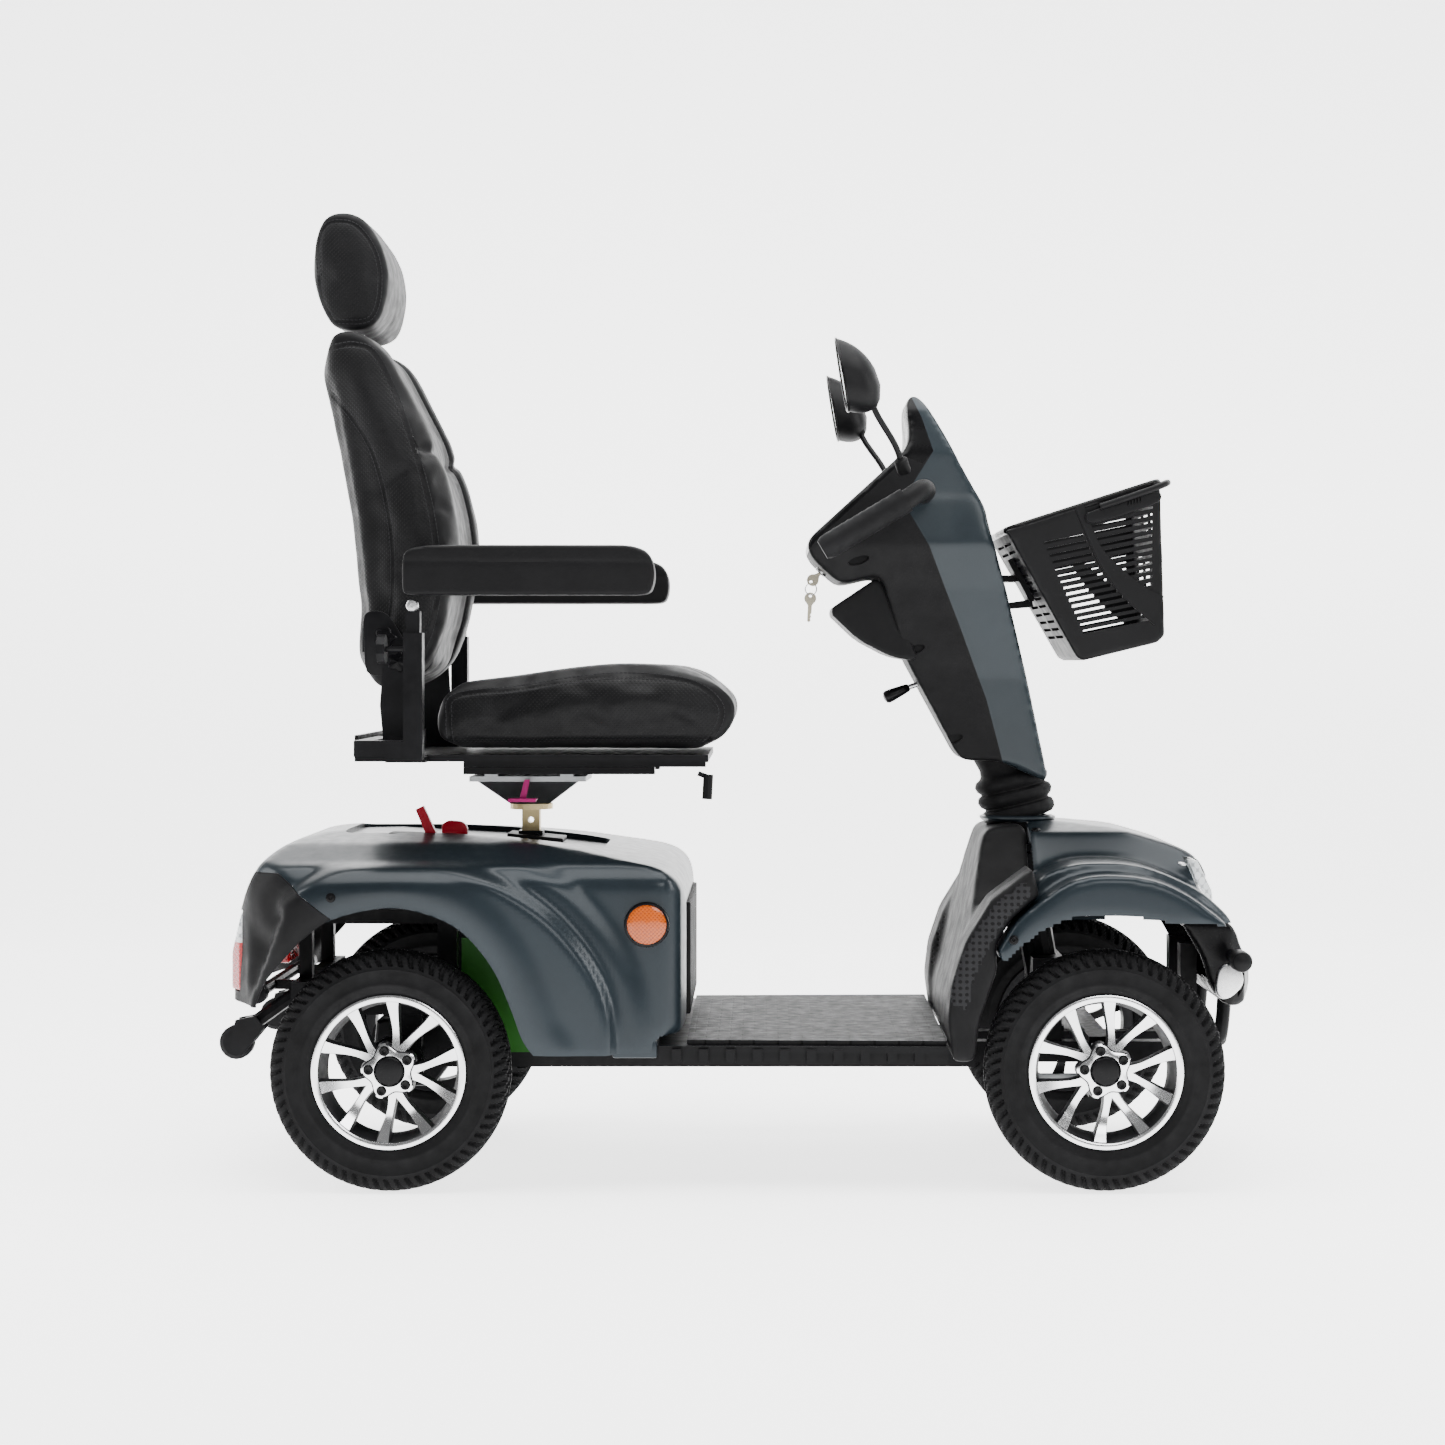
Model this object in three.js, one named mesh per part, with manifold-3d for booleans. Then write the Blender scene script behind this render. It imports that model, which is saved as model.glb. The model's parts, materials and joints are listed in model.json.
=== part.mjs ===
// Four-wheeled mobility scooter with a swivelling captain seat, a tilting tiller and a front basket.
// Millimetres. X points forward, Y to the rider's left and Z up. While the pieces are being made,
// X = 0 is the rear axle, Y = 0 the middle plane and Z = 0 the ground.
import * as THREE from "three";
import { mergeVertices } from "three/addons/utils/BufferGeometryUtils.js";
import Module from "manifold-3d";

const wasm = await Module();
wasm.setup();

// ---------------------------------------------------------------- driving dimensions
const WHEELBASE = 1060;
const TYRE_R = 179;
const TYRE_HALF_W = 39;
const RIM_R = 115;
const WHEEL_Y = 280;
const KINGPIN_Y = 235;
const TRACK_ARM = 90;
const GAP = 0.4;
const WALL = 5;
const BODY_HALF_W = 300;
const FENDER_HALF_W = 338;
const FLOOR_Z = 215;
const MAT_THICK = 7;
const FLOOR_HALF_W = 302;
const POST_X = 185;
const POST_HALF = 14;
const SOCKET_HALF = 19;
const SEAT_HALF_W = 235;
const BACK_HALF_W = 215;
const BACK_PIVOT = [5, 785];
const ARM_Y = 309.5;
const COLUMN_R = 16;
const COLUMN_LEAN = THREE.MathUtils.degToRad(10);
const TILT_PIVOT = [953, 542];
const BASKET_HALF_W = 165;
const LENGTH_CENTRE_X = 521.2;
const ROUND = 24;

// ---------------------------------------------------------------- materials
const finish = (name, color, roughness, metalness) =>
  new THREE.MeshStandardMaterial({ name, color, roughness, metalness });
const materials = {
  body_paint: finish("body_paint", 0x343c42, 0.35, 0.3),
  tiller_paint: finish("tiller_paint", 0x464e54, 0.35, 0.3),
  frame_steel: finish("frame_steel", 0x161616, 0.45, 0.5),
  black_plastic: finish("black_plastic", 0x262626, 0.6, 0),
  leather: finish("leather", 0x1b1b1c, 0.5, 0),
  tyre_rubber: finish("tyre_rubber", 0x1d1d1d, 0.9, 0),
  mat_rubber: finish("mat_rubber", 0x202020, 0.85, 0),
  rim_alloy: finish("rim_alloy", 0xd8d9da, 0.2, 1),
  cast_alloy: finish("cast_alloy", 0x8f9396, 0.5, 0.9),
  zinc_brass: finish("zinc_brass", 0xa08a55, 0.4, 0.9),
  red_plastic: finish("red_plastic", 0x960a1e, 0.4, 0),
  magenta_plastic: finish("magenta_plastic", 0xbe3282, 0.4, 0),
  battery_green: finish("battery_green", 0x1e5019, 0.5, 0),
  amber_lens: finish("amber_lens", 0xc85a14, 0.2, 0),
  red_lens: finish("red_lens", 0xa01018, 0.2, 0),
  clear_lens: finish("clear_lens", 0xd8dde0, 0.1, 0),
  key_steel: finish("key_steel", 0xb0a890, 0.35, 1),
};

// ---------------------------------------------------------------- solid helpers
// A closed three.js geometry as a solid that can be joined and cut.
function solidOf(geometry) {
  geometry.deleteAttribute("normal");
  geometry.deleteAttribute("uv");
  const merged = mergeVertices(geometry, 1e-4);
  const index = merged.index.array;
  const kept = [];
  for (let i = 0; i < index.length; i += 3) {
    const [a, b, c] = [index[i], index[i + 1], index[i + 2]];
    if (a !== b && b !== c && c !== a) kept.push(a, b, c);
  }
  const vertProperties = Float32Array.from(merged.attributes.position.array);
  const triVerts = Uint32Array.from(kept);
  return new wasm.Manifold(new wasm.Mesh({ numProp: 3, vertProperties, triVerts }));
}

function geometryOf(solid) {
  const mesh = solid.getMesh();
  const geometry = new THREE.BufferGeometry();
  const positions = Float32Array.from(mesh.vertProperties);
  geometry.setAttribute("position", new THREE.BufferAttribute(positions, 3));
  geometry.setIndex(new THREE.BufferAttribute(Uint32Array.from(mesh.triVerts), 1));
  geometry.computeVertexNormals();
  return geometry;
}

const join = (first, ...rest) => rest.reduce((sum, solid) => sum.add(solid), first);
const cut = (first, ...rest) => rest.reduce((sum, solid) => sum.subtract(solid), first);

function block(x0, x1, y0, y1, z0, z1) {
  const geometry = new THREE.BoxGeometry(x1 - x0, Math.abs(y1 - y0), z1 - z0);
  geometry.translate((x0 + x1) / 2, (y0 + y1) / 2, (z0 + z1) / 2);
  return solidOf(geometry);
}

// The same box on both sides of the middle plane.
const blocks = (x0, x1, y0, y1, z0, z1) =>
  join(block(x0, x1, y0, y1, z0, z1), block(x0, x1, -y1, -y0, z0, z1));

// An outline of [x, z] points, extruded across the scooter from y0 to y1.
function slab(points, y0, y1, bevel = 0) {
  const shape = new THREE.Shape(points.map(([x, z]) => new THREE.Vector2(x, z)));
  const geometry = new THREE.ExtrudeGeometry(shape, {
    depth: y1 - y0 - 2 * bevel,
    bevelEnabled: bevel > 0,
    bevelThickness: bevel,
    bevelSize: bevel * 0.6,
    bevelOffset: -bevel * 0.6,
    bevelSegments: 2,
  });
  geometry.rotateX(Math.PI / 2);
  geometry.translate(0, y1 - bevel, 0);
  return solidOf(geometry);
}

// The same outline on both sides of the middle plane.
const slabs = (points, y0, y1, bevel = 0) =>
  join(slab(points, y0, y1, bevel), slab(points, -y1, -y0, bevel));

// A symmetric front-view outline of [half width, z] points from low to high, extruded along X.
function frontView(points, x0, x1) {
  const right = points.map(([w, z]) => new THREE.Vector2(z, w));
  const left = points.map(([w, z]) => new THREE.Vector2(z, -w)).reverse();
  const geometry = new THREE.ExtrudeGeometry(new THREE.Shape([...right, ...left]), {
    depth: x1 - x0,
    bevelEnabled: false,
  });
  geometry.applyMatrix4(new THREE.Matrix4().set(0, 0, 1, x0, 0, 1, 0, 0, -1, 0, 0, 0, 0, 0, 0, 1));
  geometry.scale(1, 1, -1);
  return solidOf(flipped(geometry));
}

// Turns the faces of a mirrored geometry the right way out.
function flipped(geometry) {
  const bare = geometry.index ? geometry : mergeVertices(geometry);
  const index = bare.index.array;
  for (let i = 0; i < index.length; i += 3) {
    [index[i], index[i + 1]] = [index[i + 1], index[i]];
  }
  return bare;
}

// A plan-view outline of [x, y] points, extruded from z0 up to z1.
function planView(points, z0, z1) {
  const shape = new THREE.Shape(points.map(([x, y]) => new THREE.Vector2(x, y)));
  const geometry = new THREE.ExtrudeGeometry(shape, { depth: z1 - z0, bevelEnabled: false });
  geometry.translate(0, 0, z0);
  return solidOf(geometry);
}

// A round bar between two [x, y, z] points.
function rod(from, to, radius, sides = 10, endRadius = radius) {
  const a = new THREE.Vector3(...from);
  const b = new THREE.Vector3(...to);
  const geometry = new THREE.CylinderGeometry(endRadius, radius, a.distanceTo(b), sides);
  const direction = b.clone().sub(a).normalize();
  const turn = new THREE.Quaternion().setFromUnitVectors(new THREE.Vector3(0, 1, 0), direction);
  geometry.applyQuaternion(turn);
  geometry.translate((a.x + b.x) / 2, (a.y + b.y) / 2, (a.z + b.z) / 2);
  return solidOf(geometry);
}

// A round bar that bends smoothly through [x, y, z] points.
function bentBar(points, radius, steps, sides = 8) {
  const through = points.map((p) => new THREE.Vector3(...p));
  const curve = new THREE.CatmullRomCurve3(through, false, "centripetal");
  const circle = new THREE.Shape();
  circle.absarc(0, 0, radius, 0, 2 * Math.PI);
  const section = new THREE.Shape(circle.getSpacedPoints(sides).slice(0, sides));
  const settings = { steps, extrudePath: curve, curveSegments: 1 };
  const geometry = new THREE.ExtrudeGeometry(section, settings);
  return solidOf(geometry);
}

// A profile of [radius, along] points turned about the Y axis through (x, z).
function turnedY(profile, x, z, sides = ROUND) {
  const geometry = new THREE.LatheGeometry(profile.map(([r, y]) => new THREE.Vector2(r, y)), sides);
  geometry.translate(x, 0, z);
  return outward(geometry);
}

// A profile of [radius, z] points turned about a vertical axis through (x, y).
function turnedZ(profile, x, y, sides = ROUND) {
  const geometry = new THREE.LatheGeometry(profile.map(([r, z]) => new THREE.Vector2(r, z)), sides);
  geometry.rotateX(Math.PI / 2);
  geometry.translate(x, y, 0);
  return outward(geometry);
}

// A turned profile may run either way round: the solid's volume tells which way its faces point.
function outward(geometry) {
  const mirrored = geometry.clone();
  const solid = solidOf(geometry);
  return solid.volume() > 0 ? solid : solidOf(flipped(mirrored));
}

// A tapering block between two horizontal rectangles [x0, x1, half width, z].
function taper(low, high) {
  const corners = ([x0, x1, w, z]) => [[x0, -w, z], [x1, -w, z], [x1, w, z], [x0, w, z]];
  const points = [...corners(low), ...corners(high)].flat();
  const quads = [[0, 3, 2, 1], [4, 5, 6, 7], [0, 1, 5, 4], [1, 2, 6, 5], [2, 3, 7, 6], [3, 0, 4, 7]];
  const geometry = new THREE.BufferGeometry();
  geometry.setAttribute("position", new THREE.BufferAttribute(Float32Array.from(points), 3));
  geometry.setIndex(quads.flatMap(([a, b, c, d]) => [a, b, c, a, c, d]));
  return solidOf(geometry);
}

// A closed geometry mirrored to the other side of the middle plane.
function otherSide(solid) {
  const geometry = geometryOf(solid);
  geometry.scale(1, -1, 1);
  return solidOf(flipped(geometry));
}

// An outline moved inwards by a distance, corner by corner.
function inset(points, distance) {
  const area = points.reduce((sum, [x, z], i) => {
    const [nx, nz] = points[(i + 1) % points.length];
    return sum + x * nz - nx * z;
  }, 0);
  const sign = Math.sign(area);
  const edgeNormal = ([ax, az], [bx, bz]) => {
    const length = Math.hypot(bx - ax, bz - az);
    return [(-sign * (bz - az)) / length, (sign * (bx - ax)) / length];
  };
  return points.map((point, i) => {
    const before = edgeNormal(points[(i + points.length - 1) % points.length], point);
    const after = edgeNormal(point, points[(i + 1) % points.length]);
    const scale = distance / (1 + before[0] * after[0] + before[1] * after[1]);
    return [point[0] + scale * (before[0] + after[0]), point[1] + scale * (before[1] + after[1])];
  });
}

const scooter = new THREE.Group();
scooter.name = "mobility_scooter";
scooter.position.x = -LENGTH_CENTRE_X;

function add(name, solid, material) {
  const mesh = new THREE.Mesh(geometryOf(solid), materials[material]);
  mesh.name = name;
  scooter.add(mesh);
}

// The right-hand piece is made, and the left-hand one is its mirror image.
function addPair(name, rightSolid, material) {
  add(`${name}_right`, rightSolid, material);
  add(`${name}_left`, otherSide(rightSolid), material);
}

// ---------------------------------------------------------------- rear bodywork
const TAIL_REGION = [
  [-330, 472], [-165, 472], [-82, 407], [-128, 372], [-178, 316], [-196, 270], [-330, 270],
];
const REAR_ARCH = [
  [-208, 150], [-196, 281], [-178, 316], [-128, 372], [-80, 406], [-4, 423], [55, 415], [109, 389],
  [155, 335], [183, 273], [200, 228], [223, 197], [224, 150],
];
const REAR_OUTLINE = [
  [-262, 281], [-252, 360], [-230, 430], [-207, 474], [-186, 500], [-158, 516], [-110, 524], [-33, 526],
  [150, 516], [267, 503], [338, 490], [395, 480], [424, 464], [437, 440], [437, 229], [396, 229],
  [396, 197], [-262, 197],
];
const FENDER_CREST = [
  [-196, 281], [-128, 372], [-82, 407], [-120, 440], [-80, 470], [-14, 484], [60, 479], [143, 456],
  [228, 405], [290, 332], [318, 258], [321, 197], [223, 197],
];
// The plan view rounds the corners of the body, more at the tail than at the front.
const bodyPlan = (halfWidth, front) => {
  const right = [
    [-262, -110], [-248, -205], [-215, -265], [-150, -halfWidth],
    [front - 29, -halfWidth], [front - 7, 20 - halfWidth], [front, 60 - halfWidth],
  ];
  return [...right, ...right.map(([x, y]) => [x, -y]).reverse()];
};
// The front view crowns the top of the body.
const bodyCrown = (halfWidth, drop) => [
  [halfWidth, 150], [halfWidth, 458 - drop], [halfWidth - 20, 484 - drop], [halfWidth - 100, 510 - drop],
  [halfWidth - 200, 523 - drop], [40, 530 - drop],
];
const BODY_FRONT_X = 437;

// The rear body as a solid, a wall's thickness smaller all round where a drop is given.
function bodySolid(drop) {
  const halfWidth = BODY_HALF_W - drop;
  const side = slab(drop > 0 ? inset(REAR_OUTLINE, drop) : REAR_OUTLINE, -halfWidth, halfWidth);
  const plan = planView(bodyPlan(halfWidth, BODY_FRONT_X - drop), 150, 600);
  return side.intersect(plan).intersect(frontView(bodyCrown(halfWidth, drop), -400, 500));
}

function rearShell() {
  const fender = slabs(FENDER_CREST, BODY_HALF_W - 20, FENDER_HALF_W, 14);
  const skin = bodySolid(0);
  const hollow = bodySolid(WALL);
  const openBottom = join(
    block(-256, 390, -285, 285, 150, 240),
    block(380, BODY_FRONT_X - 6, -285, 285, 200, 260),
  );
  const fenderHollow = slabs(inset(FENDER_CREST, WALL), BODY_HALF_W - 60, FENDER_HALF_W - WALL, 8);
  const shell = cut(join(skin, fender), hollow, openBottom, fenderHollow);
  const postHole = block(POST_X - 24, POST_X + 24, -30, 30, 480, 600);
  const leverSlot = block(16, 80, -113, -91, 480, 600);
  return cut(shell, slab(REAR_ARCH, -400, 400), postHole, leverSlot);
}

const LIGHT_POCKET = [[-290, 412], [-196, 412], [-196, 289], [-300, 289]];
const LIGHT_OUTLINE = [[-232, 408], [-208, 408], [-232, 294], [-262, 294]];

function addRearBodywork() {
  const shell = rearShell();
  const lightPocket = slabs(LIGHT_POCKET, 140, 222);
  add("rear_body_cover", largest(cut(shell, slab(TAIL_REGION, -400, 400))), "body_paint");
  const tail = shell.intersect(slab(inset(TAIL_REGION, GAP), -400, 400));
  add("tail_panel", largest(cut(tail, lightPocket)), "black_plastic");
  const lamp = slab(LIGHT_OUTLINE, -222 + GAP, -140 - GAP, 3);
  addPair("tail_light", lamp, "red_lens");
  const reflector = rod([381, -BODY_HALF_W - GAP, 396], [381, -BODY_HALF_W - 8, 396], 30, 20);
  addPair("side_reflector", reflector, "amber_lens");
}

// The biggest separate piece of a solid that cutting has left in several.
function largest(solid) {
  const pieces = solid.decompose();
  return pieces.reduce((best, piece) => (piece.volume() > best.volume() ? piece : best));
}

// ---------------------------------------------------------------- floor and front bodywork
const FLOOR_PLAN = [[396, -290], [860, -FLOOR_HALF_W], [860, FLOOR_HALF_W], [396, 290]];
const MAT_PLAN = [[440, -276], [826, -288], [826, 288], [440, 276]];
const SKIRT_RIBS = 10;
const SKIRT_RIB_STEP = 40;

function addFloor() {
  const top = planView(FLOOR_PLAN, FLOOR_Z - 10, FLOOR_Z);
  const skirts = blocks(397, 860, FLOOR_HALF_W - 12 - WALL, FLOOR_HALF_W - 12, 189, FLOOR_Z - 5);
  const ribs = [];
  for (let i = 0; i < SKIRT_RIBS; i += 1) {
    const x = 425 + i * SKIRT_RIB_STEP;
    ribs.push(blocks(x - 7, x + 7, FLOOR_HALF_W - 14, FLOOR_HALF_W - 4, 191, 211));
  }
  const pan = join(top, skirts, ...ribs);
  const underShield = block(828, 870, -400, 400, 180, 240);
  add("floor_pan", cut(pan, underShield), "black_plastic");
  const mat = planView(MAT_PLAN, FLOOR_Z + GAP, FLOOR_Z + MAT_THICK);
  add("floor_mat", mat, "mat_rubber");
}

const FRONT_ARCH = [
  [866, 150], [868, 200], [876, 255], [892, 300], [909, 333], [933, 359], [970, 387], [1018, 405],
  [1080, 406], [1123, 399], [1154, 393], [1172, 393], [1400, 393], [1400, 150],
];
const SHIELD_OUTLINE = [
  [834, 193], [834, 262], [846, 305], [862, 375], [885, 485], [896, 527], [960, 535], [960, 452],
  [935, 425], [898, 373], [872, 300], [861, 193],
];

function addLegShield() {
  const flare = [[306, 180], [306, 290], [235, 420], [110, 500], [88, 540]];
  const inner = flare.map(([w, z]) => [w - WALL, z]);
  const outer = slab(SHIELD_OUTLINE, -310, 310, 4).intersect(frontView(flare, 700, 1000));
  const shifted = SHIELD_OUTLINE.map(([x, z]) => [x + WALL, z - (z > 480 ? WALL : 0)]);
  const hollow = join(
    slab(shifted, -310, 310).intersect(frontView(inner, 700, 1000)),
    block(870, 990, -92, 92, 300, 500),
  );
  const tyreRoom = cut(slab(FRONT_ARCH, -400, 400), block(800, 1500, -150, 150, 100, 500));
  const boltedFoot = block(830, 866, -301, 301, 180, 203);
  const columnHole = rod([TILT_PIVOT[0] - 5, 0, 570], [TILT_PIVOT[0] + 16, 0, 450], 40, 16);
  add("leg_shield", largest(cut(outer, hollow, tyreRoom, boltedFoot, columnHole)), "black_plastic");
}

const HOOD_OUTLINE = [
  [960 + GAP, 400], [960 + GAP, 540], [1018, 538], [1110, 526], [1191, 500], [1206, 490],
  [1240, 408], [1262, 393],
];
const FRONT_CREST = [
  [898, 373], [921, 409], [958, 452], [1018, 482], [1075, 487], [1135, 476], [1197, 439], [1250, 393],
  [1172, 393], [1154, 393], [1123, 399], [1080, 406], [1018, 405], [970, 387], [933, 359], [909, 333],
];
const HEADLIGHT_OUTLINE = [[1200, 487], [1210, 487], [1236, 412], [1222, 412]];
const HEADLIGHT_POCKET = [[1198, 489], [1210, 489], [1237, 410], [1215, 410]];
const HEADLIGHT_Y = [60, 172];

function addHood() {
  const centre = slab(HOOD_OUTLINE, -190, 190, 16);
  const fenders = slabs(FRONT_CREST, 170, FENDER_HALF_W - 8, 10);
  const hollow = join(
    slab(inset(HOOD_OUTLINE, WALL), -184, 184),
    block(960, 1236, -182, 182, 350, 408),
    block(950, 975, -182, 182, 350, 533),
    slabs(inset(FRONT_CREST, WALL), 160, FENDER_HALF_W - 8 - WALL),
  );
  const shieldRoom = cut(
    slab(SHIELD_OUTLINE.map(([x, z]) => [x + GAP, z]), -312, 312),
    slabs([[880, 330], [1000, 330], [1000, 600], [935, 600]], 306 + GAP, 400),
  );
  const lights = slabs(HEADLIGHT_POCKET, HEADLIGHT_Y[0] - GAP, HEADLIGHT_Y[1] + GAP);
  const columnHole = rod([TILT_PIVOT[0] - 5, 0, 570], [TILT_PIVOT[0] + 16, 0, 450], 44, 16);
  const underside = slab(FRONT_ARCH, -400, 400);
  const shell = cut(join(centre, fenders), hollow, underside, shieldRoom, columnHole, lights);
  add("front_hood", largest(shell), "body_paint");
  const headlight = slab(HEADLIGHT_OUTLINE, 3 - HEADLIGHT_Y[1], -3 - HEADLIGHT_Y[0], 2);
  addPair("headlight", headlight, "clear_lens");
}

const BUMPER_OUTLINE = [
  [1180, 391], [1262, 391], [1300, 362], [1318, 315], [1306, 278], [1252, 262], [1238, 290], [1222, 340],
];
const BUMPER_HOLLOW = [[1150, 380], [1256, 380], [1292, 355], [1306, 315], [1296, 285], [1200, 262]];

function addBumper() {
  const skin = slab(BUMPER_OUTLINE, -176, 176, 20);
  const hollow = slab(BUMPER_HOLLOW, -164, 164, 16);
  const bar = rod([1270, -262, 336], [1270, 262, 336], 11, 8);
  const caps = join(
    rod([1270, -262, 336], [1270, -222, 336], 16, 10),
    rod([1270, 222, 336], [1270, 262, 336], 16, 10),
  );
  const legs = [-1, 1].map((side) => rod([1262, side * 110, 200], [1268, side * 110, 336], 11, 8));
  const loop = join(...legs, rod([1262, -121, 200], [1262, 121, 200], 11, 8));
  const hangers = blocks(1232, 1262, 45, 75, 262, 330);
  add("front_bumper", join(cut(skin, hollow), bar, caps, loop, hangers), "black_plastic");
}

// ---------------------------------------------------------------- chassis
const RAIL_LOW = 160;
const RAIL_HIGH = 192;

function addChassisFrame() {
  const rails = [
    blocks(50, 880, 95, 125, RAIL_LOW, RAIL_HIGH),
    blocks(850, 1231, 45, 75, RAIL_LOW, RAIL_HIGH),
    blocks(1205, 1231, 45, 75, RAIL_HIGH - 5, 345),
    blocks(50, 80, 95, 125, RAIL_LOW, 402),
    blocks(-165, 80, 95, 125, 240, 270),
    blocks(-165, -145, 96, 116, 265, 402),
    blocks(-165, 200, 96, 116, 380, 402),
  ];
  const crossMembers = [
    block(170, 200, -125, 125, RAIL_LOW, RAIL_HIGH),
    block(440, 470, -125, 125, RAIL_LOW, RAIL_HIGH),
    block(850, 880, -125, 125, RAIL_LOW, RAIL_HIGH),
    block(170, 200, -116, 116, 380, 402),
    block(-165, -140, -190, 190, 272, 298),
    block(-165, -145, -116, 116, 382, 402),
  ];
  const socketOuter = block(POST_X - SOCKET_HALF, POST_X + SOCKET_HALF, -SOCKET_HALF, SOCKET_HALF, 396, 518);
  const bore = POST_HALF + GAP;
  const socket = block(POST_X - bore, POST_X + bore, -bore, bore, 396, 600);
  const tower = join(block(173, 197, -17, 17, RAIL_LOW, 398), socketOuter);
  const socketBolt = rod([POST_X + 10, -26, 509], [POST_X + 10, 26, 509], 5, 8);
  const tips = [-1, 1].map((side) => antiTipFork(side * 170));
  const bumperBar = join(
    rod([-209, -236, 285], [-209, 236, 285], 9, 10),
    rod([-209, -236, 285], [-209, -212, 285], 15, 12),
    rod([-209, 212, 285], [-209, 236, 285], 15, 12),
    blocks(-212, -150, 100, 112, 278, 292),
  );
  const leverPlate = block(38, 58, -126, -118, 385, 492);
  const small = join(tower, socketBolt, ...tips, bumperBar, leverPlate, frontStructure());
  const frame = join(...rails, ...crossMembers, small);
  add("chassis_frame", cut(frame, socket, columnBore()), "frame_steel");
}

const FORK_OUTLINE = [[-262, 190], [-240, 186], [-205, 228], [-220, 246], [-250, 240]];

function antiTipFork(y) {
  const arm = rod([-152, y, 285], [-226, y, 232], 11, 8);
  const plates = join(
    slab(FORK_OUTLINE, y - 18, y - 14.5),
    slab(FORK_OUTLINE, y + 14.5, y + 18),
  );
  return join(arm, plates, slab([[-228, 231], [-212, 228], [-220, 245], [-236, 243]], y - 16, y + 16));
}

// Points on the leaning steering axis at a given height.
const onColumn = (z) => [TILT_PIVOT[0] + (TILT_PIVOT[1] - z) * Math.tan(COLUMN_LEAN), 0, z];
const columnBore = () => rod(onColumn(150), onColumn(600), COLUMN_R + 0.6, 16);

function frontStructure() {
  const headTube = rod(onColumn(285), onColumn(480), 27, 14);
  const legs = blocks(975, 1020, 55, 72, RAIL_HIGH - 5, 320);
  const bridge = block(975, 1025, -72, 72, 292, 322);
  const beam = block(1045, 1075, -190, 190, RAIL_HIGH - 5, 223);
  const yokes = join(
    blocks(1045, 1075, 176, 190, 132, 223),
    blocks(1042, 1078, 176, KINGPIN_Y + 13, 213, 223),
    blocks(1042, 1078, 176, KINGPIN_Y + 13, 132, 142),
  );
  return join(headTube, legs, bridge, beam, yokes);
}

function addBatteries() {
  addPair("battery", block(95, 265, -195, -25, RAIL_HIGH + GAP, 366), "battery_green");
}

const HOUSING_OUTLINE = [[-62, 150], [-20, 118], [35, 118], [66, 160], [60, 225], [0, 236], [-55, 220]];

function addTransaxle() {
  const housing = slab(HOUSING_OUTLINE, -52, 52, 8);
  const axle = rod([0, -238, TYRE_R], [0, 238, TYRE_R], 20, 14);
  const flanges = join(
    rod([0, -238, TYRE_R], [0, -228, TYRE_R], 44, 18),
    rod([0, 228, TYRE_R], [0, 238, TYRE_R], 44, 18),
  );
  const motor = rod([-30, 40, 180], [-30, 90, 180], 46, 16);
  const saddles = blocks(-25, 25, 97, 123, 190, 240 - GAP);
  add("transaxle", join(housing, axle, flanges, motor, saddles), "frame_steel");
}

function addAntiTipWheels() {
  const profile = [[0, -183], [20, -183], [26, -179], [26, -161], [20, -157], [0, -157]];
  const roller = turnedY(profile, -250, 205, 18);
  addPair("anti_tip_wheel", roller, "mat_rubber");
}

// ---------------------------------------------------------------- wheels and steering
function tyre(x, y) {
  const w = TYRE_HALF_W;
  const r = TYRE_R;
  const profile = [
    [RIM_R + GAP, y - w + 8], [145, y - w], [168, y - w + 5], [r, y - w + 20],
    [r, y + w - 20], [168, y + w - 5], [145, y + w], [RIM_R + GAP, y + w - 8], [RIM_R + GAP, y - w + 8],
  ];
  return turnedY(profile, x, TYRE_R);
}

const SPOKE_PAIRS = 5;
const SPOKE_SPREAD = THREE.MathUtils.degToRad(17);
const FIRST_SPOKE = THREE.MathUtils.degToRad(32);

// Each of the five spokes splits into two arms between the hub and the barrel.
function rim(x, y) {
  const face = y + Math.sign(y) * 22;
  const inwards = -Math.sign(y);
  const barrel = turnedY([
    [RIM_R, y - 31], [RIM_R, y + 31], [98, y + 31], [96, y - 31], [RIM_R, y - 31],
  ], x, TYRE_R);
  const hub = rod([x, face + inwards * 26, TYRE_R], [x, face - inwards * 4, TYRE_R], 24, 12);
  const disc = rod([x, face, TYRE_R], [x, face + inwards * 14, TYRE_R], 44, 15);
  const arms = [];
  for (let i = 0; i < SPOKE_PAIRS; i += 1) {
    for (const side of [-1, 1]) {
      const middle = FIRST_SPOKE + (i * 2 * Math.PI) / SPOKE_PAIRS;
      arms.push(spokeArm(x, face, inwards, middle + side * SPOKE_SPREAD));
    }
  }
  return join(barrel, hub, disc, ...arms);
}

function spokeArm(x, face, inwards, angle) {
  const geometry = new THREE.BoxGeometry(66, 12, 13);
  geometry.translate(68, face + inwards * 8, 0);
  geometry.rotateY(-angle);
  geometry.translate(x, 0, TYRE_R);
  return solidOf(geometry);
}

function addWheels() {
  for (const [end, x] of [["rear", 0], ["front", WHEELBASE]]) {
    addPair(`tyre_${end}`, tyre(x, -WHEEL_Y), "tyre_rubber");
    const [hubY, hubR] = end === "rear" ? [-238 - GAP, 30] : [-262, 20];
    const hubBack = rod([x, hubY, TYRE_R], [x, -285, TYRE_R], hubR, 12);
    addPair(`rim_${end}`, join(rim(x, -WHEEL_Y), hubBack), "rim_alloy");
  }
}

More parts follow.
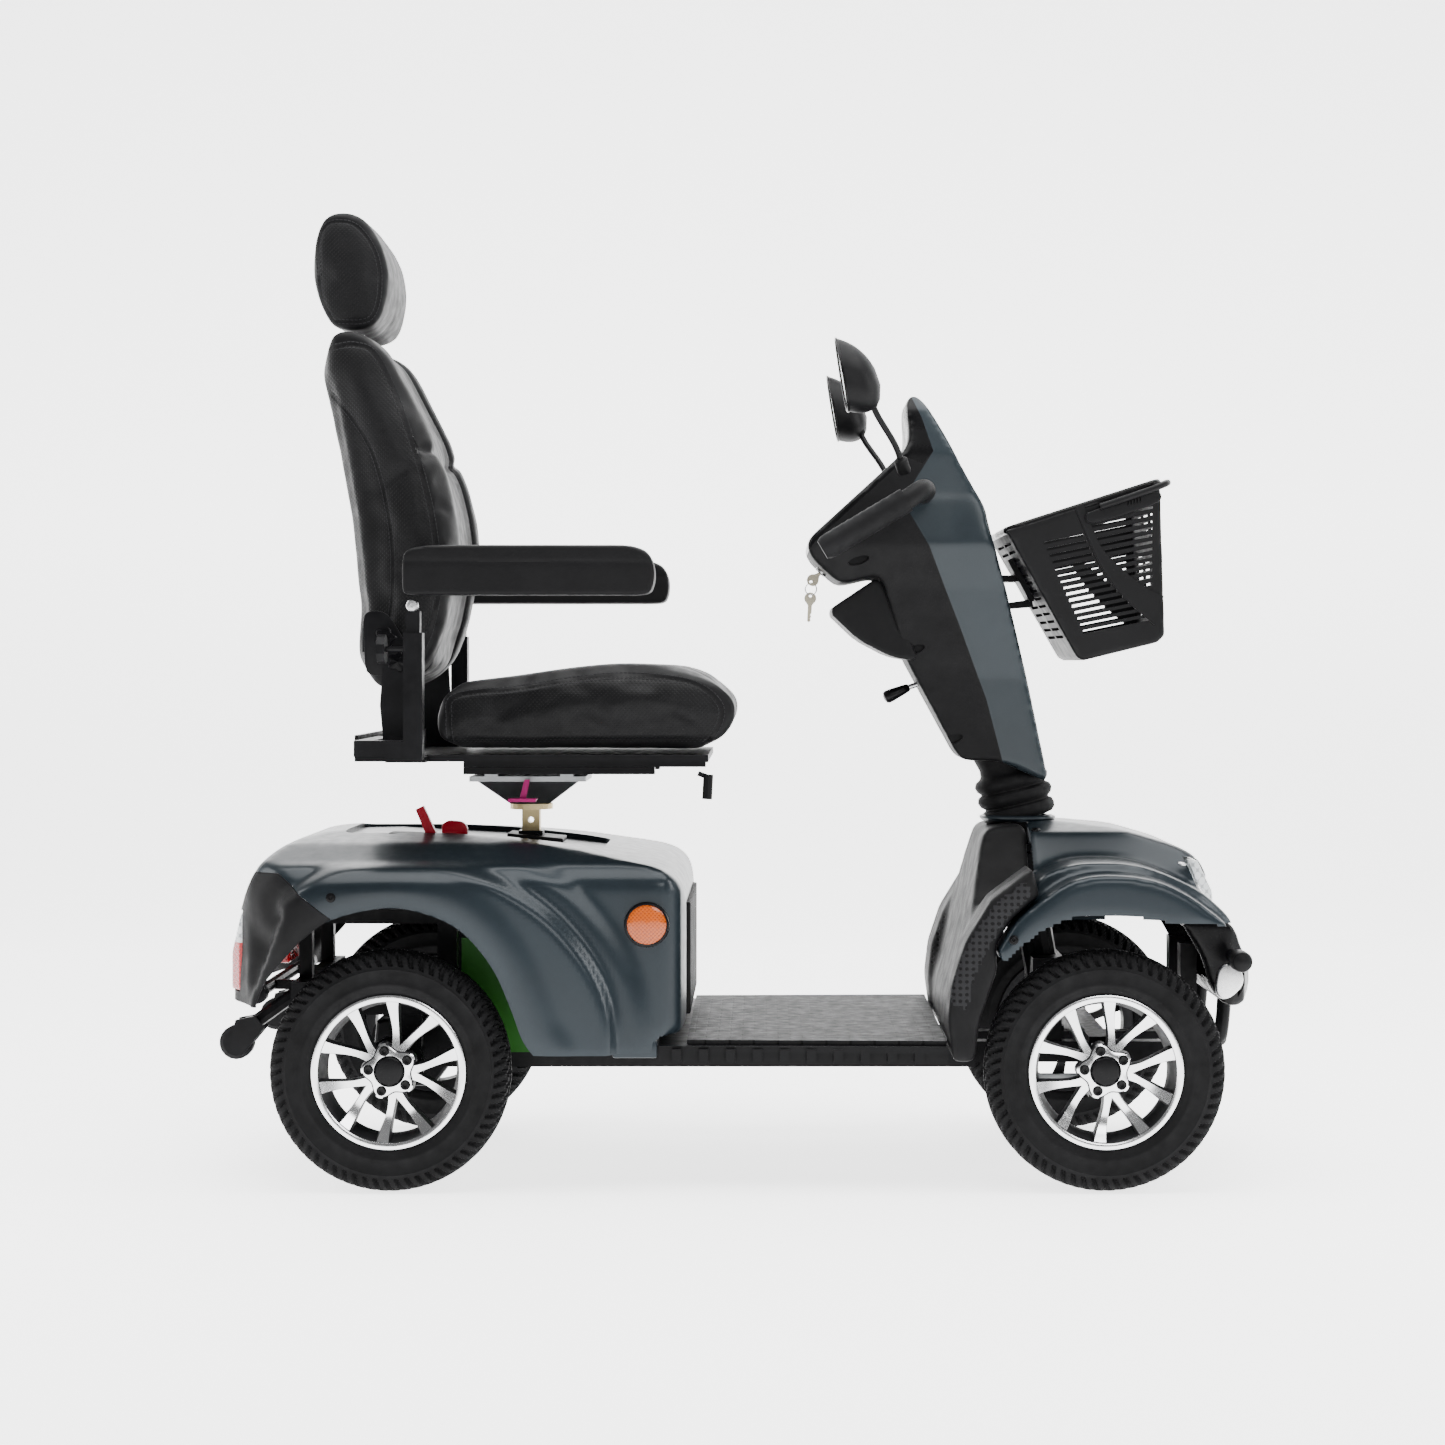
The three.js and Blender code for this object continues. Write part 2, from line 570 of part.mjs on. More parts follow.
function addSteering() {
  const y = -KINGPIN_Y;
  const kingpin = rod([WHEELBASE, y, 142 + GAP], [WHEELBASE, y, 213 - GAP], 13, 12);
  const stub = rod([WHEELBASE, y, TYRE_R], [WHEELBASE, -262 + GAP, TYRE_R], 12, 10);
  const arm = block(WHEELBASE - TRACK_ARM - 8, WHEELBASE, y - 4, y + 9, 153, 165);
  addPair("knuckle", join(kingpin, stub, arm), "cast_alloy");
  const rodX = WHEELBASE - TRACK_ARM;
  const link = rod([rodX, -KINGPIN_Y, 144], [rodX, KINGPIN_Y, 144], 5, 8);
  const eyes = join(
    rod([rodX, -KINGPIN_Y, 138], [rodX, -KINGPIN_Y, 153 - GAP], 7, 10),
    rod([rodX, KINGPIN_Y, 138], [rodX, KINGPIN_Y, 153 - GAP], 7, 10),
  );
  add("tie_rod", join(link, eyes), "frame_steel");
  const tube = rod(onColumn(200), onColumn(522), COLUMN_R, 16);
  const drop = block(958, 1030, -9, 9, 198, 208);
  const head = block(TILT_PIVOT[0] - 14, TILT_PIVOT[0] + 18, -14, 14, 512, 556);
  const collar = rod(onColumn(484), onColumn(494), 26, 14);
  add("steering_column", join(tube, drop, head, collar), "frame_steel");
}

// The lower rings of the rubber boot, open down the middle for the column.
function addBoot() {
  const profile = [
    [52, 548], [58, 548], [62, 554], [57, 561], [61, 569], [58, 577], [55, 580], [52, 580], [52, 548],
  ];
  add("bellows_boot", turnedZ(profile, TILT_PIVOT[0] + 2, 0, 20), "black_plastic");
}

const FREEWHEEL_OUTLINE = [
  [40, 470], [56, 470], [58, 488], [46, 520], [26, 562], [14, 556], [34, 508], [38, 486],
];

function addFreewheelLever() {
  add("freewheel_lever", slab(FREEWHEEL_OUTLINE, -110, -94, 2), "red_plastic");
}

// ---------------------------------------------------------------- tiller
const TILLER_OUTLINE = [
  [618, 971], [771, 1111], [780, 1131], [775, 1192], [788, 1205], [806, 1190], [837, 1137], [864, 1082],
  [897, 1022], [899, 1006], [908, 973], [930, 902], [966, 760], [1002, 594], [924, 630], [862, 630],
  [774, 793], [735, 921], [678, 907], [667, 910], [628, 945],
];
const DASH_REGION = [
  [600, 975], [771, 1125], [770, 1215], [784, 1215], [786, 1196], [800, 1165], [817, 1112], [800, 1092],
  [776, 1102], [634, 972], [622, 962],
];
const FRONT_COVER_REGION = [
  [786, 1196], [784, 1215], [1100, 1215], [1100, 600], [900, 600], [929, 626], [902, 727], [859, 841],
  [810, 964], [768, 1035], [817, 1112], [800, 1165],
];
const TILLER_WIDTH = [
  [60, 600], [76, 760], [104, 900], [128, 965], [126, 1040], [112, 1110], [88, 1180], [62, 1210],
];
const BIN_OUTLINE = [[734, 919], [653, 865], [700, 820], [751, 793], [790, 785], [780, 830]];
const BAR_POINT = [800, 1045];
const THROTTLE_POINT = [752, 1010];

const DASH_HOLLOW = [[640, 940], [640, 958], [776, 1084], [802, 1080], [802, 1000]];
const BIN_HOLLOW = [[738, 930], [658, 875], [703, 826], [757, 798], [772, 800], [760, 860]];
const MIRROR_ROOM = [[770, 1060], [800, 1110], [790, 1130], [750, 1080]];

// A round hole from side to side at an [x, z] point.
const crossBore = ([x, z], radius) => rod([x, -200, z], [x, 200, z], radius, 14);

function tillerShell() {
  const narrower = TILLER_WIDTH.map(([w, z]) => [w - WALL, z]);
  const outer = slab(TILLER_OUTLINE, -128, 128, 12).intersect(frontView(TILLER_WIDTH, 500, 1100));
  const core = slab(inset(TILLER_OUTLINE, WALL), -123, 123, 10);
  const inner = core.intersect(frontView(narrower, 500, 1100));
  const neckOpening = block(855, 975, -52, 52, 590, 650);
  return { outer, shell: cut(outer, inner, neckOpening), inner };
}

function addTiller() {
  const { outer, shell, inner } = tillerShell();
  const dashRegion = slab(inset(DASH_REGION, -GAP), -400, 400);
  const dash = cut(outer.intersect(slab(DASH_REGION, -400, 400)), slab(DASH_HOLLOW, -110, 110));
  const frontRegion = slab(FRONT_COVER_REGION, -400, 400);
  const barRoom = crossBore(BAR_POINT, 17);
  const throttleRoom = crossBore(THROTTLE_POINT, 9);
  const mirrorRoom = slabs(MIRROR_ROOM, 118, 200);
  const frontSkin = shell.intersect(slab(inset(FRONT_COVER_REGION, GAP), -400, 400));
  add("tiller_front_cover", largest(cut(frontSkin, barRoom, dashRegion)), "tiller_paint");
  const bin = cut(slab(BIN_OUTLINE, -88, 88, 6), slab(BIN_HOLLOW, -83, 83, 4));
  const leverSlot = rod([840, 0, 763], [740, 0, 730], 12, 12);
  const lockHole = rod([670, 0, 952], [630, 0, 912], 11, 12);
  const binned = join(cut(shell, frontRegion, dashRegion), cut(bin, inner));
  const rear = cut(binned, barRoom, throttleRoom, leverSlot, lockHole, mirrorRoom);
  add("tiller_rear_cover", largest(rear), "black_plastic");
  add("dash_panel", largest(cut(dash, barRoom, throttleRoom)), "black_plastic");
  addTillerStem();
  addHandlebar();
  addTillerControls();
}

// The steel tube inside the covers, forked over the tilt pivot.
function addTillerStem() {
  const [px, pz] = TILT_PIVOT;
  const earOutline = [[-14, -14], [14, -14], [14, 22], [-26, 70], [-46, 62]];
  const yokeOutline = [[-27, 30], [-14, 32], [-24, 70], [-44, 62]];
  const placed = (points) => points.map(([x, z]) => [px + x, pz + z]);
  const ears = slabs(placed(earOutline), 14 + GAP, 20);
  const yoke = slab(placed(yokeOutline), -20, 20);
  const tube = rod([918, 0, 603], [806, 0, 985], 15, 12);
  const saddle = join(
    block(790, 815, -60, 60, 985, 1000),
    blocks(790, 810, 52, 60, 985, 1028),
  );
  add("tiller_stem", join(ears, yoke, tube, saddle), "frame_steel");
}

const GRIP_R = 15.5;

function addHandlebar() {
  const [x, z] = BAR_POINT;
  const right = bentBar([
    [x, 0, z], [x, -110, z], [x - 2, -190, z], [x - 8, -232, z - 1], [x - 32, -250, z - 17],
    [x - 90, -252, z - 52], [x - 158, -252, z - 92],
  ], GRIP_R, 12, 8);
  add("handlebar", join(right, otherSide(right)), "mat_rubber");
}

const KEY_BOW = [
  [645, 930], [640, 922], [636, 912], [622, 902], [612, 914], [624, 926], [636, 932], [641, 934],
];
const SPARE_KEY = [[626, 908], [630, 900], [634, 872], [625, 858], [617, 872], [616, 900], [620, 908]];

function addTillerControls() {
  const [x, z] = THROTTLE_POINT;
  const shaft = rod([x, -206, z], [x, 206, z], 6, 10);
  const paddleOutline = [[x + 6, z + 5], [x - 6, z + 8], [x - 72, z - 34], [x - 70, z - 46], [x, z - 7]];
  const paddles = slabs(paddleOutline, 176, 206, 2);
  add("throttle_lever", join(shaft, paddles), "black_plastic");
  const barrel = rod([664, 0, 946], [641, 0, 923], 10 - GAP, 14);
  const bow = slab(KEY_BOW, -1.5, 1.5);
  const spare = slab(SPARE_KEY, -1.4, 1.6);
  add("key", join(barrel, bow, spare), "key_steel");
  const lever = join(rod([838, 0, 762], [762, 0, 737], 4, 8), rod([770, 0, 739], [744, 0, 731], 9, 12, 7));
  add("tilt_lever", lever, "black_plastic");
  addPair("mirror", mirror(), "black_plastic");
}

function mirror() {
  const y = -212;
  const clamp = rod([772, y, 1064], [761, y, 1090], 9, 10);
  const stalkPath = [[764, y, 1082], [746, y - 2, 1112], [728, y - 20, 1146], [716, y - 46, 1172]];
  const stalk = bentBar(stalkPath, 4, 5, 6);
  const head = new THREE.SphereGeometry(1, 12, 7);
  head.scale(26, 62, 52);
  head.rotateY(THREE.MathUtils.degToRad(-14));
  head.translate(697, y - 62, 1216);
  const glassPlane = slab([[664, 1290], [680, 1150], [760, 1150], [760, 1290]], -400, 0);
  const shellHead = solidOf(head).intersect(glassPlane);
  return join(clamp, stalk, shellHead, rod([716, y - 46, 1172], [706, y - 54, 1190], 8, 8));
}

// ---------------------------------------------------------------- basket
const BASKET_OUTLINE = [[926, 987], [1161, 1062], [1171, 826], [1160, 815], [1046, 787], [1036, 792]];
const BASKET_HOLLOW = [[936, 1000], [1163, 1075], [1164, 829], [1157, 821], [1048, 794], [1041, 797]];

function addBasket() {
  const w = BASKET_HALF_W;
  const sideSlope = (shrink) => [[w - 24 - shrink, 780], [w - shrink, 1040], [w - shrink, 1200]];
  const sides = (shrink) => frontView(sideSlope(shrink), 800, 1300);
  const outer = slab(BASKET_OUTLINE, -w, w, 6).intersect(sides(0));
  const inside = slab(BASKET_HOLLOW, -w, w).intersect(sides(4));
  const rimBand = [[924, 980], [920, 992], [1160, 1069], [1164, 1057]];
  const rimMouth = [[934, 960], [934, 1020], [1156, 1100], [1156, 1030]];
  const lip = cut(slab(rimBand, -171, 171), slab(rimMouth, -161, 161));
  add("basket", join(cut(outer, inside), lip), "black_plastic");
  const y = 171 + 5 + 4;
  const bail = bentBar([
    [1068, -y, 1018], [1110, -y, 1034], [1160, -y - 2, 1053], [1175, -y + 4, 1059], [1178, -y + 50, 1062],
    [1178, 0, 1063],
  ], 5, 9, 6);
  add("basket_handle", join(bail, otherSide(bail)), "black_plastic");
  const plate = slab([[939, 945], [947, 949], [982, 884], [974, 880]], -34, 34);
  const hooks = slabs([[925 + GAP, 922], [960, 922], [966, 912], [928 + GAP, 912]], 20, 28);
  const struts = slabs([[936 + GAP, 878], [938 + GAP, 869], [980, 872], [978, 884]], 20, 28);
  add("basket_bracket", join(plate, hooks, struts), "frame_steel");
}

// ---------------------------------------------------------------- seat base
const RAIL_Y = [85, 115];

function addSeatBase() {
  const stem = block(POST_X - POST_HALF, POST_X + POST_HALF, -POST_HALF, POST_HALF, 402, 553);
  const crossHole = rod([POST_X, -30, 535], [POST_X, 30, 535], 5, 8);
  const flange = rod([POST_X, 0, 552], [POST_X, 0, 561 - GAP], 34, 20);
  add("seat_post", join(cut(stem, crossHole), flange), "zinc_brass");
  const cone = taper([155, 215, 34, 561], [104, 266, 72, 600]);
  const plate = block(94, 276, -76, 76, 598, 606);
  const feet = blocks(118, 138, 60, 76, 604, 611 - GAP);
  const feetFront = blocks(236, 256, 60, 76, 604, 611 - GAP);
  add("swivel_bracket", join(cone, plate, feet, feetFront), "cast_alloy");
  const stalk = slab([[174, 572], [184, 572], [190, 602], [182, 602]], -96, -88);
  const tab = slab([[157, 568], [200, 568], [202, 573], [158, 573]], -112, -84);
  add("swivel_lever", join(stalk, tab), "magenta_plastic");
  const lower = blocks(89, 385, ...RAIL_Y, 611, 622);
  const ties = join(block(110, 146, -115, 115, 611, 617), block(228, 264, -115, 115, 611, 617));
  add("seat_rails", join(lower, ties), "frame_steel");
  addSeatPan();
  const wire = rod([452, -100, 612], [468, -100, 606], 4, 8);
  const grip = rod([468, -100, 610], [466, -100, 572], 8, 10);
  add("slide_handle", join(wire, grip), "black_plastic");
}

function addSeatPan() {
  const upperRails = blocks(89, 464, ...RAIL_Y, 622 + GAP, 636);
  const plate = block(-20, 470, -205, 205, 634, 644);
  const channel = join(
    block(-66, -8, -205, 205, 634, 641),
    block(-66, -60, -205, 205, 634, 674),
    block(-14, -8, -205, 205, 634, 674),
  );
  const wings = blocks(-14, 46, 200, 246, 634, 642);
  const hinges = slabs([[-14, 634], [46, 634], [30, 700], [24, 800], [-16, 800], [-22, 720]], 240, 246);
  add("seat_pan", join(upperRails, plate, channel, wings, hinges), "frame_steel");
}

// ---------------------------------------------------------------- cushions and back
const CUSHION_OUTLINE = [
  [64, 650], [60, 700], [72, 748], [180, 762], [262, 776], [327, 783], [420, 779], [480, 760], [511, 724],
  [508, 690], [488, 655], [470, 649],
];
const BACK_OUTLINE = [
  [-39, 747], [0, 758], [40, 785], [68, 860], [87, 967], [80, 1020], [66, 1073], [38, 1140], [12, 1186],
  [-29, 1260], [-62, 1287], [-104, 1288], [-121, 1272], [-123, 1232], [-113, 1198], [-92, 1100],
  [-74, 1010],
  [-61, 877], [-63, 785],
];
const HEAD_OUTLINE = [
  [-118, 1299], [-66, 1297], [-38, 1312], [-26, 1360], [-31, 1420], [-64, 1470], [-100, 1481], [-132, 1472],
  [-148, 1430], [-143, 1350],
];

const BACK_PLATE = [
  [-20, 765], [24, 765], [26, 800], [10, 860], [-60, 872], [-80, 840], [-80, 800], [-40, 788],
];

function addUpholstery() {
  const seat = slab(CUSHION_OUTLINE, -SEAT_HALF_W, SEAT_HALF_W, 26);
  add("seat_cushion", seat, "leather");
  const stayX = -78;
  const stayHoles = [-1, 1].map((side) => rod([stayX, side * 55, 1150], [stayX, side * 55, 1320], 7, 10));
  add("backrest_cushion", cut(slab(BACK_OUTLINE, -BACK_HALF_W, BACK_HALF_W, 30), ...stayHoles), "leather");
  const stays = [-1, 1].map((side) => rod([stayX, side * 55, 1160], [stayX, side * 55, 1320], 6, 10));
  add("headrest", join(slab(HEAD_OUTLINE, -128, 128, 26), ...stays), "leather");
  const sides = slabs(BACK_PLATE, 222, 228);
  const crossBar = block(-80, -67, -228, 228, 800, 840);
  add("back_frame", join(sides, crossBar), "frame_steel");
}

// ---------------------------------------------------------------- armrests
function addArmrests() {
  const y = -ARM_Y;
  const half = 12.5;
  const post = block(23, 51, y - half - 1.5, y + half + 1.5, 640, 828);
  const stem = block(27, 47, y - half + 2, y + half - 2, 820, 860);
  const foot = block(-50, 51, y - half, y + half, 645, 669);
  const slide = block(-50, -24, y - half, -70, 645, 669);
  const knob = rod([-16, y, 804], [-4, y, 804], 22, 10);
  const stud = rod([-8, y, 804], [26, y, 804], 4, 8);
  addPair("armrest_support", join(post, stem, foot, slide, knob, stud), "frame_steel");
  const pad = slab([
    [22, 886], [22, 950], [60, 957], [360, 957], [388, 946], [397, 918], [392, 888], [380, 882], [30, 882],
  ], y - 35, y + 35, 8);
  const earOutline = [[25, 846], [49, 840], [78, 846], [84, 884], [25, 884]];
  const ears = [y - 18, y + 14].map((from) => slab(earOutline, from, from + 4));
  const plate = block(25, 84, y - 18, y + 18, 874, 886);
  addPair("armrest", join(pad, ...ears, plate), "black_plastic");
}

addRearBodywork();
addFloor();
addLegShield();
addHood();
addBumper();
addChassisFrame();
addBatteries();
addTransaxle();
addAntiTipWheels();
addWheels();
addSteering();
addBoot();
addFreewheelLever();
addTiller();
addBasket();
addSeatBase();
addUpholstery();
addArmrests();

export default scooter;
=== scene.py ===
import json
import math

import bmesh
import bpy
import numpy as np
from mathutils import Matrix, Vector
from mathutils.bvhtree import BVHTree


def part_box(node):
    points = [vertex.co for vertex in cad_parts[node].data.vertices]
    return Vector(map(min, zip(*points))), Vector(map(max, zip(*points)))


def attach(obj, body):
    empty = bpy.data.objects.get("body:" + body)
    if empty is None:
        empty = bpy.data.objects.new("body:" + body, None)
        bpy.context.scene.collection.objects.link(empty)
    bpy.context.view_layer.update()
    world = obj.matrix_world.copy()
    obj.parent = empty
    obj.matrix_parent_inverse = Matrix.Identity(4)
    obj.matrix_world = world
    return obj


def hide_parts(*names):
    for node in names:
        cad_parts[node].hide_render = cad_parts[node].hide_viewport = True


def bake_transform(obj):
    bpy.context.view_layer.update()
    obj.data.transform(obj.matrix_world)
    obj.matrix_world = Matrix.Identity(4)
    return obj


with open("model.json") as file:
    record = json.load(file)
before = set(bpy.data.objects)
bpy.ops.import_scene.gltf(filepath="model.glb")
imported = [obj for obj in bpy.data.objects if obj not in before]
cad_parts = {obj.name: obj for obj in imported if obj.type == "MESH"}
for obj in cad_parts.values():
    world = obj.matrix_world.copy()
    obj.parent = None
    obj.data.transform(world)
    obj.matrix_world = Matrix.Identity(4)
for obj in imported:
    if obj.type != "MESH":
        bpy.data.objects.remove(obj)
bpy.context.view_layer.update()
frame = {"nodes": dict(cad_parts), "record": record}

# Lengths below are in millimetres from the rear axle (X), the middle plane (Y) and the ground (Z).
REAR_AXLE_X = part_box("tyre_rear_right")[0].x + 0.179
DULL_SPECULAR = 0.11
STITCH_PITCH = 6.5


def at(x, y, z):
    """A point in the frame's metres."""
    return Vector((x / 1000 + REAR_AXLE_X, y / 1000, z / 1000))


# ---------------------------------------------------------------- materials
def socket(bsdf, name, value):
    bsdf.inputs[name].default_value = value


class Finish:
    """A procedural material: a principled shader with noise in its colour, roughness and bump."""

    def __init__(self, name, colour, roughness, metallic=0.0):
        self.material = bpy.data.materials.new(name)
        self.material.use_nodes = True
        self.tree = self.material.node_tree
        self.bsdf = self.tree.nodes["Principled BSDF"]
        socket(self.bsdf, "Base Color", (*colour, 1))
        socket(self.bsdf, "Roughness", roughness)
        socket(self.bsdf, "Metallic", metallic)
        socket(self.bsdf, "Specular IOR Level", DULL_SPECULAR)
        self.colour = colour
        self.roughness = roughness
        self.height = None
        self.coords = self.node("ShaderNodeTexCoord").outputs["Object"]

    def node(self, kind, **settings):
        node = self.tree.nodes.new(kind)
        for key, value in settings.items():
            setattr(node, key, value)
        return node

    def link(self, source, target):
        self.tree.links.new(source, target)

    def noise(self, scale, detail=4.0, rough=0.5, stretch=None):
        texture = self.node("ShaderNodeTexNoise")
        texture.inputs["Scale"].default_value = scale
        texture.inputs["Detail"].default_value = detail
        texture.inputs["Roughness"].default_value = rough
        vector = self.coords
        if stretch:
            mapping = self.node("ShaderNodeMapping")
            mapping.inputs["Scale"].default_value = stretch
            self.link(vector, mapping.inputs["Vector"])
            vector = mapping.outputs["Vector"]
        self.link(vector, texture.inputs["Vector"])
        return texture.outputs["Fac"]

    def ramp(self, value, low, high, dark, light):
        ramp = self.node("ShaderNodeMapRange")
        ramp.inputs["From Min"].default_value = low
        ramp.inputs["From Max"].default_value = high
        ramp.inputs["To Min"].default_value = dark
        ramp.inputs["To Max"].default_value = light
        self.link(value, ramp.inputs["Value"])
        return ramp.outputs["Result"]

    def vary_colour(self, value, dark, light):
        """The colour goes from dark to light times itself as the value goes from 0 to 1."""
        mix = self.node("ShaderNodeMix", data_type="RGBA")
        mix.inputs[6].default_value = (*[min(1, c * dark) for c in self.colour], 1)
        mix.inputs[7].default_value = (*[min(1, c * light) for c in self.colour], 1)
        self.link(value, mix.inputs[0])
        self.link(mix.outputs[2], self.bsdf.inputs["Base Color"])
        return self

    def vary_roughness(self, value, low, high):
        self.link(self.ramp(value, 0.3, 0.7, low, high), self.bsdf.inputs["Roughness"])
        return self

    def bump(self, value, depth, strength=1.0):
        bump = self.node("ShaderNodeBump")
        bump.inputs["Distance"].default_value = depth
        bump.inputs["Strength"].default_value = strength
        self.link(value, bump.inputs["Height"])
        if self.height is not None:
            self.link(self.height, bump.inputs["Normal"])
        self.height = bump.outputs["Normal"]
        self.link(self.height, self.bsdf.inputs["Normal"])
        return self

    def dots(self, spacing, plane="XZ", radius=0.3, angle=45):
        """A square grid of dots in a plane, turned by an angle: 1 inside a dot and 0 between."""
        split = self.node("ShaderNodeSeparateXYZ")
        self.link(self.coords, split.inputs[0])
        joined = self.node("ShaderNodeCombineXYZ")
        self.link(split.outputs[plane[0]], joined.inputs[0])
        self.link(split.outputs[plane[1]], joined.inputs[1])
        turn = self.node("ShaderNodeMapping")
        turn.inputs["Rotation"].default_value = (0, 0, math.radians(angle))
        self.link(joined.outputs[0], turn.inputs["Vector"])
        cells = self.node("ShaderNodeTexVoronoi", voronoi_dimensions="2D")
        cells.inputs["Scale"].default_value = 1 / spacing
        cells.inputs["Randomness"].default_value = 0
        self.link(turn.outputs["Vector"], cells.inputs["Vector"])
        return self.ramp(cells.outputs["Distance"], radius, radius - 0.12, 0.0, 1.0)


def moulded(name, colour, roughness, grain=2600, depth=0.00006):
    """Injection-moulded plastic: a fine leathery grain, soft blotches of gloss and a little dust."""
    f = Finish(name, colour, roughness)
    blotch = f.noise(9, 3)
    f.vary_colour(f.ramp(blotch, 0.3, 0.7, 0, 1), 0.82, 1.18)
    f.vary_roughness(f.noise(34, 5), roughness - 0.07, roughness + 0.09)
    f.bump(f.noise(grain, 2, 0.6), depth)
    return f.material


def car_paint(name, colour):
    """Satin metallic paint: fine flakes under a soft clear coat, with a slight orange peel."""
    f = Finish(name, colour, 0.36, 0.35)
    flakes = f.noise(5200, 0)
    broad = f.noise(5, 2)
    mixed = f.node("ShaderNodeMath", operation="MULTIPLY_ADD")
    mixed.inputs[1].default_value = 0.55
    f.link(flakes, mixed.inputs[0])
    f.link(broad, mixed.inputs[2])
    f.vary_colour(f.ramp(mixed.outputs[0], 0.5, 1.05, 0, 1), 0.78, 1.26)
    f.vary_roughness(f.noise(60, 4), 0.33, 0.42)
    f.bump(f.noise(420, 2), 0.00004)
    socket(f.bsdf, "Coat Weight", 0.3)
    socket(f.bsdf, "Coat Roughness", 0.22)
    return f.material


def leather(name, perforated):
    """Black imitation leather: pebbled grain, creases, and on the side panels rows of pinholes, painted
    darker than the leather as painted shade in the holes.
    """
    f = Finish(name, (0.0034, 0.0034, 0.0038), 0.43)
    pebbles = f.node("ShaderNodeTexVoronoi", feature="SMOOTH_F1")
    pebbles.inputs["Scale"].default_value = 620
    f.link(f.coords, pebbles.inputs["Vector"])
    creases = f.noise(22, 6, 0.62, (1, 1, 0.6))
    f.vary_colour(f.ramp(f.noise(7, 4), 0.3, 0.7, 0, 1), 0.75, 1.5)
    f.vary_roughness(f.noise(46, 5), 0.38, 0.55)
    f.bump(pebbles.outputs["Distance"], 0.00028, 0.55)
    f.bump(creases, 0.0016, 0.16)
    if perforated:
        holes = f.dots(0.0046)
        # The pinholes are painted a darker black than the leather round them: painted shade in the holes.
        dark = f.node("ShaderNodeMix", data_type="RGBA")
        dark.inputs[7].default_value = (0.003, 0.003, 0.003, 1)
        base = f.bsdf.inputs["Base Color"].links[0].from_socket
        f.link(holes, dark.inputs[0])
        f.link(base, dark.inputs[6])
        f.link(dark.outputs[2], f.bsdf.inputs["Base Color"])
        f.bump(f.ramp(holes, 0, 1, 1, 0), 0.0006, 0.8)
    socket(f.bsdf, "Sheen Weight", 0.015)
    socket(f.bsdf, "Sheen Roughness", 0.5)
    return f.material


def rubber(name, colour=(0.0032, 0.0032, 0.0035), roughness=0.66):
    f = Finish(name, colour, roughness)
    f.vary_colour(f.ramp(f.noise(16, 5), 0.3, 0.7, 0, 1), 0.7, 1.6)
    f.vary_roughness(f.noise(70, 5), roughness - 0.12, roughness + 0.1)
    f.bump(f.noise(1500, 3), 0.00012)
    return f.material


def metal(name, colour, roughness, stretch=None, grain=900, depth=0.00004, metallic=1.0):
    """Bare or plated metal. A stretched noise gives brushed or turned lines."""
    f = Finish(name, colour, roughness, metallic)
    lines = f.noise(grain, 3, 0.6, stretch)
    f.vary_colour(f.ramp(f.noise(12, 4), 0.3, 0.7, 0, 1), 0.86, 1.12)
    f.vary_roughness(lines, roughness - 0.06, roughness + 0.1)
    f.bump(lines, depth)
    return f.material


def powder_coat(name, colour=(0.0035, 0.0035, 0.004)):
    f = Finish(name, colour, 0.38, 0.1)
    f.vary_colour(f.ramp(f.noise(20, 4), 0.3, 0.7, 0, 1), 0.7, 1.5)
    f.vary_roughness(f.noise(90, 5), 0.3, 0.48)
    f.bump(f.noise(800, 2), 0.0001)
    return f.material


def lens(name, colour, cell, transmission=0.35):
    """A moulded lamp lens: small prisms under a glossy face, each painted lighter in its middle and
    darker at its edge as painted highlight and painted shade.
    """
    f = Finish(name, colour, 0.12)
    prisms = f.dots(cell, "XZ", 0.55, 45)
    # Each prism cell is painted lighter in its raised middle and darker at its edge: a painted highlight
    # on the prism and painted shade between prisms.
    f.vary_colour(prisms, 0.62, 1.25)
    f.vary_roughness(f.noise(30, 3), 0.08, 0.18)
    f.bump(prisms, 0.0005, 0.8)
    socket(f.bsdf, "Transmission Weight", transmission)
    socket(f.bsdf, "Coat Weight", 0.6)
    socket(f.bsdf, "Coat Roughness", 0.05)
    return f.material


